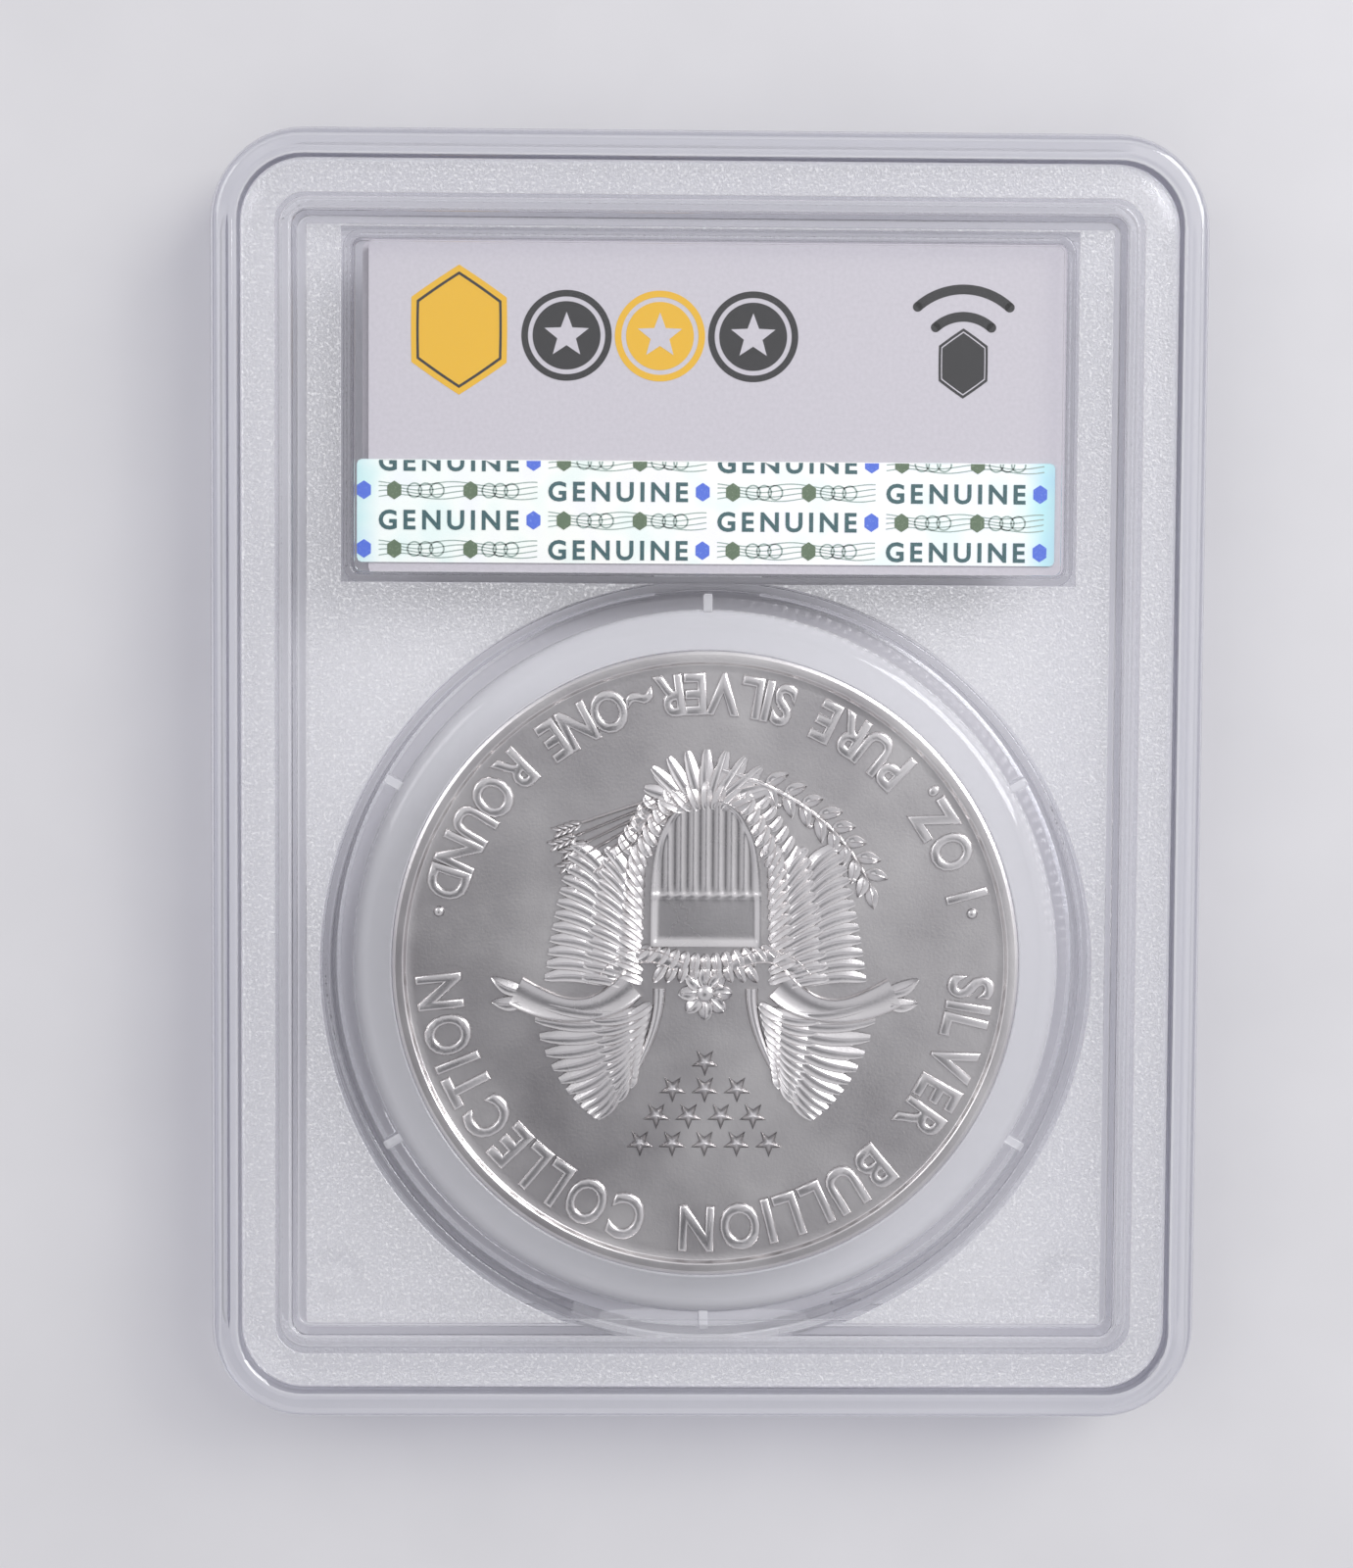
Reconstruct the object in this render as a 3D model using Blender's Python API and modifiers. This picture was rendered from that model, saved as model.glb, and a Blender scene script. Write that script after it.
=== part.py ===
"""A graded coin slab: a welded clear holder with a coin, its ring, a label and a contactless tag.

The slab lies on its front face, with its rear face up (+Z) and its label end towards +Y.
The origin is at the middle of the footprint, on the surface the front rim rests on.
Lengths are given in millimetres and scaled to metres where they enter Blender.
"""

import math

import bmesh
import bpy

MM = 0.001

# ---- driving dimensions, in millimetres ----
SLAB_WIDTH = 63.5
SLAB_LENGTH = 82.55
SLAB_THICKNESS = 8.2
SLAB_CORNER = 6.0
SLAB_BEVEL = 0.7

RIM_WIDTH = 1.9
RIM_HEIGHT = 0.8
WINDOW_THICKNESS = 1.6
FIT_GAP = 0.1

TONGUE_WIDTH = 0.5
TONGUE_DEPTH = 0.4
WALL_INSET = 4.1
WALL_WIDTH = 0.88
RIB_WIDTH = 0.6

COIN_CENTRE = (0.0, -12.0)
COIN_RADIUS = 20.3
COIN_THICKNESS = 2.98
COIN_RIM_WIDTH = 0.7
COIN_FIELD_DEPTH = 0.37
COIN_EDGE_CHAMFER = 0.12

RING_RADIUS = 23.0
RING_ROUNDING = 0.55
RING_RIB_COUNT = 6
RING_RIB_WIDTH = 0.6
SEAT_RADIUS = 24.2

POCKET_HALF_WIDTH = 22.9
POCKET_LOW = 13.15
POCKET_HIGH = 34.5
POCKET_CORNER = 0.5
POCKET_FLOOR = 3.45
POCKET_CEILING = 4.75

CARD_SIZE = (44.7, 21.1)
CARD_THICKNESS = 0.3
REAR_CARD_CENTRE = (0.45, 23.82)
STRIP_SIZE = (45.0, 6.6)
STRIP_CENTRE = (-0.13, 17.2)
STRIP_THICKNESS = 0.08

TAG_FILM_SIZE = (38.0, 17.0)
TAG_FILM_THICKNESS = 0.08
TAG_WIRE_RADIUS = 0.05
TAG_TURNS = 4
TAG_TURN_PITCH = 0.7
TAG_CHIP_SIZE = (1.6, 1.2, 0.16)
LAYER_GAP = 0.05

POST_RADIUS = 1.4
POST_PLACES = ((-24.0, -32.9), (24.0, -32.9))

CORNER_STEPS = 8
ROUND_STEPS = 72
SMOOTH_ANGLE = math.radians(35.0)

# ---- heights worked out from them ----
HALF_SIZE = (SLAB_WIDTH / 2, SLAB_LENGTH / 2)
PARTING_HEIGHT = SLAB_THICKNESS / 2
FLOOR_LOW = RIM_HEIGHT
FLOOR_HIGH = RIM_HEIGHT + WINDOW_THICKNESS
ROOF_HIGH = SLAB_THICKNESS - RIM_HEIGHT
ROOF_LOW = ROOF_HIGH - WINDOW_THICKNESS
ROOT = 0.8 * WINDOW_THICKNESS
RING_HEIGHT = ROOF_LOW - FLOOR_HIGH - 2 * LAYER_GAP

CLEAR_STYRENE = ("clear_styrene", (0.86, 0.87, 0.90), 0.12, 0.0)
CLEAR_GRIP = ("clear_grip_plastic", (0.78, 0.79, 0.82), 0.20, 0.0)
SILVER = ("struck_silver", (0.62, 0.62, 0.63), 0.30, 1.0)
CARD = ("label_card", (0.62, 0.60, 0.64), 0.70, 0.0)
FOIL = ("security_foil", (0.80, 0.86, 0.88), 0.25, 0.6)
FILM = ("tag_film", (0.72, 0.60, 0.40), 0.40, 0.0)
COPPER = ("antenna_copper", (0.72, 0.38, 0.24), 0.35, 1.0)
CHIP_RESIN = ("chip_resin", (0.05, 0.05, 0.06), 0.50, 0.0)


def clear_scene():
    """Remove whatever the scene holds."""
    for old in list(bpy.data.objects):
        bpy.data.objects.remove(old)


def new_collection(name):
    """Make a collection in the scene."""
    collection = bpy.data.collections.new(name)
    bpy.context.scene.collection.children.link(collection)
    return collection


clear_scene()
PARTS = new_collection("graded_coin_slab")
CUTTERS = new_collection("cutters")


# ---- outlines ----

def rounded_rectangle(centre, half_size, radius, steps=CORNER_STEPS):
    """Points of a rectangle with round corners, anticlockwise."""
    points = []
    for corner in range(4):
        middle_angle = math.pi / 4 + corner * math.pi / 2
        corner_x = centre[0] + math.copysign(half_size[0] - radius, math.cos(middle_angle))
        corner_y = centre[1] + math.copysign(half_size[1] - radius, math.sin(middle_angle))
        for step in range(steps + 1):
            angle = (corner + step / steps) * math.pi / 2
            points.append((corner_x + radius * math.cos(angle), corner_y + radius * math.sin(angle)))
    return points


def slab_outline(inset, least_corner=0.3):
    """The slab's outline moved inwards by an inset, its corners tightening with it."""
    half_size = (HALF_SIZE[0] - inset, HALF_SIZE[1] - inset)
    return rounded_rectangle((0, 0), half_size, max(SLAB_CORNER - inset, least_corner))


def pocket_outline(grow):
    """The label pocket's outline, grown outwards (or inwards where grow is negative)."""
    centre = (0, (POCKET_LOW + POCKET_HIGH) / 2)
    half_size = (POCKET_HALF_WIDTH + grow, (POCKET_HIGH - POCKET_LOW) / 2 + grow)
    return rounded_rectangle(centre, half_size, max(POCKET_CORNER + grow, 0.2), steps=3)


def circle(centre, radius, steps=ROUND_STEPS):
    """Points of a circle."""
    angles = [2 * math.pi * step / steps for step in range(steps)]
    return [(centre[0] + radius * math.cos(a), centre[1] + radius * math.sin(a)) for a in angles]


# ---- solids ----

def place(piece, collection):
    """Put an object in one collection, and mark it as a guide if that is the cutters' one."""
    collection.objects.link(piece)
    if collection == CUTTERS:
        piece.hide_render = True
        piece.display_type = 'WIRE'
    return piece


def curve_to_mesh(piece, collection):
    """Turn a curve object into a mesh object with welded caps, and remove the curve."""
    bpy.context.view_layer.update()
    graph = bpy.context.evaluated_depsgraph_get()
    mesh = bpy.data.meshes.new_from_object(piece.evaluated_get(graph))
    body = bmesh.new()
    body.from_mesh(mesh)
    bmesh.ops.remove_doubles(body, verts=body.verts, dist=0.002 * MM)
    body.to_mesh(mesh)
    body.free()
    solid = bpy.data.objects.new(piece.name, mesh)
    solid.matrix_world = piece.matrix_world
    name = piece.name
    bpy.data.objects.remove(piece)
    solid.name = name
    return place(solid, collection)


def flat_solid(name, outlines, low, high, collection=CUTTERS):
    """A flat outline, with any inner outlines as holes, extruded from one height to another."""
    curve = bpy.data.curves.new(name, 'CURVE')
    curve.dimensions = '2D'
    curve.fill_mode = 'BOTH'
    curve.extrude = (high - low) / 2 * MM
    for outline in outlines:
        spline = curve.splines.new('POLY')
        spline.points.add(len(outline) - 1)
        for point, (x, y) in zip(spline.points, outline):
            point.co = (x * MM, y * MM, 0, 1)
        spline.use_cyclic_u = True
    piece = bpy.data.objects.new(name, curve)
    piece.location.z = (low + high) / 2 * MM
    bpy.context.scene.collection.objects.link(piece)
    return curve_to_mesh(piece, collection)


def round_edges(piece, height, width, segments=3):
    """Round the sharp edges that lie at one height, on either side of a rim."""
    local_height = height * MM - piece.location.z
    body = bmesh.new()
    body.from_mesh(piece.data)
    body.normal_update()
    sharp = [
        edge for edge in body.edges
        if all(abs(vertex.co.z - local_height) < 0.01 * MM for vertex in edge.verts)
        and len(edge.link_faces) == 2 and edge.calc_face_angle() > math.radians(60)
    ]
    bmesh.ops.bevel(body, geom=sharp, offset=width * MM, segments=segments, profile=0.5,
                    affect='EDGES')
    body.to_mesh(piece.data)
    body.free()
    return piece


def combine(base, other, operation):
    """Join another solid to a base, or cut it out of the base."""
    modifier = base.modifiers.new(operation.lower() + "_" + other.name, 'BOOLEAN')
    modifier.operation = operation
    modifier.solver = 'EXACT'
    modifier.object = other
    return base


def finish_part(piece, finish, parent=None):
    """Give a part its material and smooth shading, and a parent if it rides on one."""
    name, colour, roughness, metallic = finish
    material = bpy.data.materials.get(name) or bpy.data.materials.new(name)
    material.use_nodes = True
    shader = material.node_tree.nodes["Principled BSDF"]
    shader.inputs["Base Color"].default_value = (*colour, 1)
    shader.inputs["Roughness"].default_value = roughness
    shader.inputs["Metallic"].default_value = metallic
    piece.data.materials.clear()
    piece.data.materials.append(material)
    piece.data.shade_smooth()
    piece.data.set_sharp_from_angle(angle=SMOOTH_ANGLE)
    if parent is not None:
        piece.parent = parent
    return piece


def turned_solid(name, profile, steps, collection=PARTS):
    """A profile of (radius, height) pairs turned about +Z, running down its outer side."""
    mesh = bpy.data.meshes.new(name)
    points = [(radius * MM, 0, height * MM) for radius, height in profile]
    closed = profile[0][0] > 0
    edges = [(i, i + 1) for i in range(len(points) - 1)]
    if closed:
        edges.append((len(points) - 1, 0))
    mesh.from_pydata(points, edges, [])
    piece = place(bpy.data.objects.new(name, mesh), collection)
    screw = piece.modifiers.new("turn", 'SCREW')
    screw.axis = 'Z'
    screw.steps = steps
    screw.render_steps = steps
    screw.use_merge_vertices = True
    screw.merge_threshold = 0.00001
    return piece


# ---- the two shells ----

def perimeter_wall(name, inset, low, high, seat_clearance):
    """A wall that follows the slab's outline, cut back where the round coin seat meets it."""
    outlines = [slab_outline(inset), slab_outline(inset + WALL_WIDTH)]
    wall = flat_solid(name, outlines, low, high)
    seat = circle(COIN_CENTRE, seat_clearance)
    return combine(wall, flat_solid(name + "_seat_cut", [seat], low - 1, high + 1), 'DIFFERENCE')


def make_front_shell():
    """Front half: window, rim, skirt with weld groove, outer wall, pocket rib, coin seat, posts."""
    skirt_high = PARTING_HEIGHT - FIT_GAP / 2
    skirt = [slab_outline(0), slab_outline(RIM_WIDTH)]
    shell = flat_solid("front_shell", skirt, 0, skirt_high, PARTS)
    round_edges(shell, 0, SLAB_BEVEL)
    tongue_inset = (RIM_WIDTH - TONGUE_WIDTH) / 2
    groove = [slab_outline(tongue_inset - FIT_GAP),
              slab_outline(tongue_inset + TONGUE_WIDTH + FIT_GAP)]
    groove_floor = skirt_high - TONGUE_DEPTH - FIT_GAP
    combine(shell, flat_solid("weld_groove", groove, groove_floor, skirt_high + 1), 'DIFFERENCE')

    wall_top = ROOF_LOW - FIT_GAP
    rib_root = FLOOR_HIGH - ROOT
    pocket_wall = [pocket_outline(RIB_WIDTH), pocket_outline(0)]
    seat_wall = [circle(COIN_CENTRE, SEAT_RADIUS + RIB_WIDTH), circle(COIN_CENTRE, SEAT_RADIUS)]
    joined = [
        flat_solid("front_window", [slab_outline(RIM_WIDTH / 2)], FLOOR_LOW, FLOOR_HIGH),
        perimeter_wall("outer_wall", WALL_INSET, rib_root, wall_top, SEAT_RADIUS + RIB_WIDTH / 2),
        flat_solid("pocket_wall", pocket_wall, rib_root + 0.05, wall_top),
        flat_solid("seat_wall", seat_wall, rib_root - 0.05, wall_top - 0.02),
        flat_solid("pocket_pad", [pocket_outline(RIB_WIDTH / 2)], rib_root + 0.1, POCKET_FLOOR),
    ]
    for number, centre in enumerate(POST_PLACES, start=1):
        post = circle(centre, POST_RADIUS, steps=16)
        joined.append(flat_solid(f"corner_post_{number}", [post], rib_root, wall_top))
    for piece in joined:
        combine(shell, piece, 'UNION')
    return finish_part(shell, CLEAR_STYRENE)


def make_rear_shell():
    """Rear half: window, rim, skirt with weld tongue, inner wall, pad over the label."""
    skirt_low = PARTING_HEIGHT + FIT_GAP / 2
    skirt = [slab_outline(0), slab_outline(RIM_WIDTH)]
    shell = flat_solid("rear_shell", skirt, skirt_low, SLAB_THICKNESS, PARTS)
    round_edges(shell, SLAB_THICKNESS, SLAB_BEVEL)
    tongue_inset = (RIM_WIDTH - TONGUE_WIDTH) / 2
    tongue = [slab_outline(tongue_inset), slab_outline(tongue_inset + TONGUE_WIDTH)]
    tongue_low = skirt_low - TONGUE_DEPTH - FIT_GAP / 2
    inner_inset = WALL_INSET + WALL_WIDTH + FIT_GAP
    wall_root = ROOF_LOW + ROOT
    joined = [
        flat_solid("weld_tongue", tongue, tongue_low, skirt_low + 1),
        flat_solid("rear_window", [slab_outline(RIM_WIDTH / 2)], ROOF_LOW, ROOF_HIGH),
        perimeter_wall("inner_wall", inner_inset, FLOOR_HIGH + FIT_GAP, wall_root,
                       SEAT_RADIUS + RIB_WIDTH + FIT_GAP),
        flat_solid("label_pad", [pocket_outline(-FIT_GAP)], POCKET_CEILING, wall_root - 0.1),
    ]
    for piece in joined:
        combine(shell, piece, 'UNION')
    return finish_part(shell, CLEAR_STYRENE)


# ---- the coin and its ring ----

def make_coin(axis):
    """The struck round: a raised rim on both faces around a lower field, and a plain edge."""
    half = COIN_THICKNESS / 2
    field = half - COIN_FIELD_DEPTH
    rim_inside = COIN_RADIUS - COIN_RIM_WIDTH
    upper = [
        (0, field),
        (rim_inside - 0.2, field),
        (rim_inside, half),
        (COIN_RADIUS - COIN_EDGE_CHAMFER, half),
        (COIN_RADIUS, half - COIN_EDGE_CHAMFER),
    ]
    lower = [(radius, -height) for radius, height in reversed(upper)]
    coin = turned_solid("coin", upper + lower, ROUND_STEPS)
    return finish_part(coin, SILVER, parent=axis)


def make_coin_ring(axis):
    """The clear ring around the coin's edge, with six ribs that centre it in the round seat."""
    half = RING_HEIGHT / 2
    bore = COIN_RADIUS + FIT_GAP / 2
    rounding = RING_ROUNDING
    slope = rounding * (1 - math.sqrt(0.5))
    upper = [
        (bore, half),
        (RING_RADIUS - rounding, half),
        (RING_RADIUS - slope, half - slope),
        (RING_RADIUS, half - rounding),
    ]
    lower = [(radius, -height) for radius, height in reversed(upper)]
    ring = turned_solid("coin_ring", upper + lower, ROUND_STEPS)
    reach = SEAT_RADIUS - FIT_GAP
    middle = (RING_RADIUS - 2 * FIT_GAP + reach) / 2
    for number in range(RING_RIB_COUNT):
        angle = number * 2 * math.pi / RING_RIB_COUNT + math.pi / 2
        name = f"ring_rib_{number + 1}"
        length = reach - (RING_RADIUS - 2 * FIT_GAP)
        rib = flat_solid(name, [rounded_rectangle((middle, 0), (length / 2, RING_RIB_WIDTH / 2),
                                                  0.1, steps=2)], -half + 0.6, half - 0.6)
        rib.parent = axis
        rib.rotation_euler.z = angle
        combine(ring, rib, 'UNION')
    return finish_part(ring, CLEAR_GRIP, parent=axis)


# ---- the label and its contactless tag ----

def make_sheet(name, centre, size, low, thickness, finish, corner=0.3):
    """A flat sheet with slightly rounded corners."""
    half_size = (size[0] / 2, size[1] / 2)
    outline = rounded_rectangle(centre, half_size, corner, steps=2)
    return finish_part(flat_solid(name, [outline], low, low + thickness, PARTS), finish)


def antenna_route(centre, height):
    """Points of a rectangular coil that winds inwards and ends beside the chip."""
    half_x = TAG_FILM_SIZE[0] / 2 - 1.0
    half_y = TAG_FILM_SIZE[1] / 2 - 1.0
    points = []
    for turn in range(TAG_TURNS):
        shrink = turn * TAG_TURN_PITCH
        outline = rounded_rectangle(centre, (half_x - shrink, half_y - shrink), 1.5, steps=3)
        points.extend(outline[:-2] if turn < TAG_TURNS - 1 else outline[:10])
    last_x, last_y = points[-1]
    points.append((last_x + 3.0, last_y + 3.0))
    return [(x, y, height) for x, y in points]


def make_antenna(centre, low):
    """The tag's coil, a fine wire on the film."""
    route = antenna_route(centre, low + TAG_WIRE_RADIUS)
    curve = bpy.data.curves.new("tag_antenna", 'CURVE')
    curve.dimensions = '3D'
    curve.bevel_depth = TAG_WIRE_RADIUS * MM
    curve.bevel_resolution = 1
    curve.use_fill_caps = True
    spline = curve.splines.new('POLY')
    spline.points.add(len(route) - 1)
    for point, (x, y, z) in zip(spline.points, route):
        point.co = (x * MM, y * MM, z * MM, 1)
    wire = bpy.data.objects.new("tag_antenna", curve)
    bpy.context.scene.collection.objects.link(wire)
    return finish_part(curve_to_mesh(wire, PARTS), COPPER)


def make_label_stack():
    """Front card, tag film, coil, chip, rear card and security strip, from the front upwards."""
    centre = (0, REAR_CARD_CENTRE[1])
    level = POCKET_FLOOR + LAYER_GAP
    make_sheet("front_label_card", centre, CARD_SIZE, level, CARD_THICKNESS, CARD)
    level += CARD_THICKNESS + LAYER_GAP
    make_sheet("tag_film", centre, TAG_FILM_SIZE, level, TAG_FILM_THICKNESS, FILM, corner=1.0)
    level += TAG_FILM_THICKNESS + LAYER_GAP
    make_antenna(centre, level)
    chip_centre = (centre[0] - 11.0, centre[1] - 2.0)
    make_sheet("tag_chip", chip_centre, TAG_CHIP_SIZE[:2], level, TAG_CHIP_SIZE[2], CHIP_RESIN,
               corner=0.1)
    level += TAG_CHIP_SIZE[2] + LAYER_GAP
    make_sheet("rear_label_card", REAR_CARD_CENTRE, CARD_SIZE, level, CARD_THICKNESS, CARD)
    level += CARD_THICKNESS + LAYER_GAP
    make_sheet("hologram_strip", STRIP_CENTRE, STRIP_SIZE, level, STRIP_THICKNESS, FOIL)


def make_coin_axis():
    """An empty on the coin's axis, halfway through the slab, that the coin turns about."""
    axis = bpy.data.objects.new("coin_axis", None)
    axis.location = (COIN_CENTRE[0] * MM, COIN_CENTRE[1] * MM, PARTING_HEIGHT * MM)
    PARTS.objects.link(axis)
    return axis


def main():
    """Build the slab from the front shell upwards."""
    coin_axis = make_coin_axis()
    make_front_shell()
    make_coin(coin_axis)
    make_coin_ring(coin_axis)
    make_label_stack()
    make_rear_shell()


main()
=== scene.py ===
"""Looks of the graded coin slab: clear welded shells, struck coin, centring ring, label and tag.

Shapes are worked out in millimetres and enter Blender in metres. +Z is out of the rear face,
+Y is towards the label end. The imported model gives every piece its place.
"""
from __future__ import annotations

import logging
import math
from dataclasses import dataclass, field
from enum import Enum

import bmesh
import bpy
import numpy as np
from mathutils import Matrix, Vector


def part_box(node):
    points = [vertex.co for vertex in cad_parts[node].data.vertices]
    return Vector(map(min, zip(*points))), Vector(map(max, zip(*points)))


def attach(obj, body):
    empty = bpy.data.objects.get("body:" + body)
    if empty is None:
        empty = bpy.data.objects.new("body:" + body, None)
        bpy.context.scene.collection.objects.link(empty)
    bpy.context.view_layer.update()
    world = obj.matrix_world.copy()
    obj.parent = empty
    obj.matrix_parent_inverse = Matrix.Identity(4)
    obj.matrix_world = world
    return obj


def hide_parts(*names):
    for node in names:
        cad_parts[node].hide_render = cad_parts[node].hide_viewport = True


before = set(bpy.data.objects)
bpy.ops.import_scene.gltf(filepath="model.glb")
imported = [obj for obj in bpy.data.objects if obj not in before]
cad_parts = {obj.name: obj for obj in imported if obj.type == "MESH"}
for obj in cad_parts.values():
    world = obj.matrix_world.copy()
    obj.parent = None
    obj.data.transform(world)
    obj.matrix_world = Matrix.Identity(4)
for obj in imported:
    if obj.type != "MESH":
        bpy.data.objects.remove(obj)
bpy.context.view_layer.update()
LOG = logging.getLogger("coin_slab")
# A millimetre in metres, and the height in millimetres of the plane half way up the slab.
MM = 0.001
MIDDLE = 4.1
Pair = tuple[float, float]
Point = Pair | np.ndarray
Place = tuple[float, float, float]
Piece = bpy.types.Object
Tree = bpy.types.NodeTree
Socket = bpy.types.NodeSocket


# ---- Surfaces ----

@dataclass
class Solid:
    """A closed body: corners in millimetres, faces as lists of corner numbers."""

    corners: np.ndarray
    faces: list[list[int]]

    def moved(self, x: float = 0.0, y: float = 0.0, z: float = 0.0) -> Solid:
        """The same body, shifted."""
        return Solid(self.corners + np.array([x, y, z]), self.faces)

    def turned(self, angle: float) -> Solid:
        """The same body, turned about +Z by an angle in radians."""
        cos, sin = math.cos(angle), math.sin(angle)
        turn = np.array([[cos, -sin, 0.0], [sin, cos, 0.0], [0.0, 0.0, 1.0]])
        return Solid(self.corners @ turn.T, self.faces)

    def scaled(self, x: float, y: float, z: float) -> Solid:
        """The same body, stretched along the axes."""
        return Solid(self.corners * np.array([x, y, z]), self.faces)


def merged(solids: list[Solid]) -> Solid:
    """Several bodies as one list of corners and faces."""
    faces: list[list[int]] = []
    start = 0
    for solid in solids:
        faces.extend([corner + start for corner in face] for face in solid.faces)
        start += len(solid.corners)
    return Solid(np.concatenate([solid.corners for solid in solids]), faces)


def grid_quads(rows: int, columns: int, wrap_rows: bool = False, wrap_columns: bool = True) -> list:
    """Four-cornered faces between the points of a rows by columns grid.

    Args:
        rows: number of rows of points.
        columns: number of points in a row.
        wrap_rows: whether the last row joins the first.
        wrap_columns: whether the last column joins the first.

    Returns:
        A list of faces, each four corner numbers.
    """
    row = np.arange(rows if wrap_rows else rows - 1)[:, None]
    column = np.arange(columns if wrap_columns else columns - 1)[None, :]
    next_row, next_column = (row + 1) % rows, (column + 1) % columns
    corners = [row * columns + column, row * columns + next_column,
               next_row * columns + next_column, next_row * columns + column]
    return np.stack(np.broadcast_arrays(*corners), axis=-1).reshape(-1, 4).tolist()


def lofted(rings: np.ndarray) -> Solid:
    """A body through rings of points, its two ends closed by flat faces.

    Args:
        rings: array of (rings, points in a ring, 3).
    """
    rows, columns = rings.shape[:2]
    faces = grid_quads(rows, columns)
    faces.append(list(range(columns)))
    faces.append(list(range((rows - 1) * columns, rows * columns)))
    return Solid(rings.reshape(-1, 3), faces)


def closed_loop(rings: np.ndarray) -> Solid:
    """A ring-shaped body: rings of points whose last one joins the first."""
    rows, columns = rings.shape[:2]
    return Solid(rings.reshape(-1, 3), grid_quads(rows, columns, wrap_rows=True))


def filleted(corners: list[Place], closed: bool, steps: int = 5) -> np.ndarray:
    """A section whose corners are rounded by arcs tangent to both of their sides.

    Each arc's centre lies on the corner's bisector at radius / sin(half angle), and its points
    turn evenly from one tangent point to the other.

    Args:
        corners: (first, second, radius) of each corner; a radius of 0 stays sharp.
        closed: whether the last corner joins the first.
        steps: number of steps in an arc.

    Returns:
        The section's points, an array of (points, 2).
    """
    points = []
    count = len(corners)
    for number, (first, second, radius) in enumerate(corners):
        here = np.array([first, second])
        at_end = not closed and number in (0, count - 1)
        if radius == 0 or at_end:
            points.append(here[None, :])
            continue
        before = np.array(corners[number - 1][:2]) - here
        after = np.array(corners[(number + 1) % count][:2]) - here
        before /= np.linalg.norm(before)
        after /= np.linalg.norm(after)
        half = math.acos(float(np.clip(before @ after, -1, 1))) / 2
        bisector = (before + after) / np.linalg.norm(before + after)
        middle = here + bisector * radius / math.sin(half)
        start = here + before * radius / math.tan(half) - middle
        finish = here + after * radius / math.tan(half) - middle
        sweep = math.pi - 2 * half
        share = np.linspace(0, 1, steps + 1)[:, None]
        arc = (np.sin((1 - share) * sweep) * start + np.sin(share * sweep) * finish) / math.sin(sweep)
        points.append(middle + arc)
    return np.concatenate(points)


@dataclass(frozen=True)
class RoundedOutline:
    """A rectangle with round corners that tighten as the outline moves inwards."""

    half_x: float
    half_y: float
    radius: float
    centre: Pair = (0.0, 0.0)
    steps: int = 12
    least_radius: float = 0.25

    def at(self, inset: np.ndarray) -> np.ndarray:
        """Points of the outline moved inwards by each inset, as (insets, points, 2).

        A point is its corner's centre plus the corner radius along its own outward direction.
        """
        quarter = np.arange(4)[:, None] * math.pi / 2
        angle = (quarter + np.linspace(0, math.pi / 2, self.steps + 1)[None, :]).ravel()
        corner = np.repeat(np.arange(4), self.steps + 1)
        sign_x = np.where((corner == 0) | (corner == 3), 1.0, -1.0)
        sign_y = np.where(corner < 2, 1.0, -1.0)
        inset = np.asarray(inset, float)[:, None]
        radius = np.maximum(self.radius - inset, self.least_radius)
        x = sign_x * (self.half_x - inset - radius) + radius * np.cos(angle)
        y = sign_y * (self.half_y - inset - radius) + radius * np.sin(angle)
        return np.stack([x + self.centre[0], y + self.centre[1]], axis=-1)


@dataclass(frozen=True)
class RoundOutline:
    """A circle."""

    radius: float
    centre: Pair = (0.0, 0.0)
    steps: int = 192

    def at(self, inset: np.ndarray) -> np.ndarray:
        """Points of the circle moved inwards by each inset, as (insets, points, 2)."""
        angle = np.linspace(0, 2 * math.pi, self.steps, endpoint=False)
        radius = self.radius - np.asarray(inset, float)[:, None]
        x = self.centre[0] + radius * np.cos(angle)
        y = self.centre[1] + radius * np.sin(angle)
        return np.stack([x, y], axis=-1)


@dataclass(frozen=True)
class DrawnOutline:
    """An outline given by its own points, which shrinks towards its middle."""

    points: np.ndarray

    def at(self, inset: np.ndarray) -> np.ndarray:
        """The points for each inset, drawn in by that much of the outline's mean radius."""
        middle = self.points.mean(axis=0)
        reach = np.linalg.norm(self.points - middle, axis=1).mean()
        share = 1 - np.asarray(inset, float)[:, None, None] / reach
        return middle + (self.points - middle)[None] * share


Outline = RoundedOutline | RoundOutline | DrawnOutline


def swept(profile: np.ndarray, outline: Outline) -> np.ndarray:
    """A section of (inset, height) points carried round an outline, as rings of points."""
    flat = outline.at(profile[:, 0])
    height = np.broadcast_to(profile[:, 1][:, None, None], flat.shape[:2] + (1,))
    return np.concatenate([flat, height], axis=-1)


def plate(outline: Outline, low: float, high: float, rounding: float = 0.0, least: float = 0.0) -> Solid:
    """A flat plate of an outline, with its upper and lower edges rounded."""
    profile = filleted([(least + rounding * 2, high, 0), (least, high, rounding),
                        (least, low, rounding), (least + rounding * 2, low, 0)], False, 3)
    if rounding == 0:
        profile = np.array([(0, high), (0, low)], float)
    return lofted(swept(profile, outline))


def polygon(points: np.ndarray, low: float, high: float) -> Solid:
    """A thin plate of a drawn outline."""
    return lofted(swept(np.array([(0, high), (0, low)], float), DrawnOutline(np.asarray(points))))


# ---- Meshes and pieces ----

class Body(Enum):
    """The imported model's two bodies."""

    SLAB = "slab"
    COIN = "coin"


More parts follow.
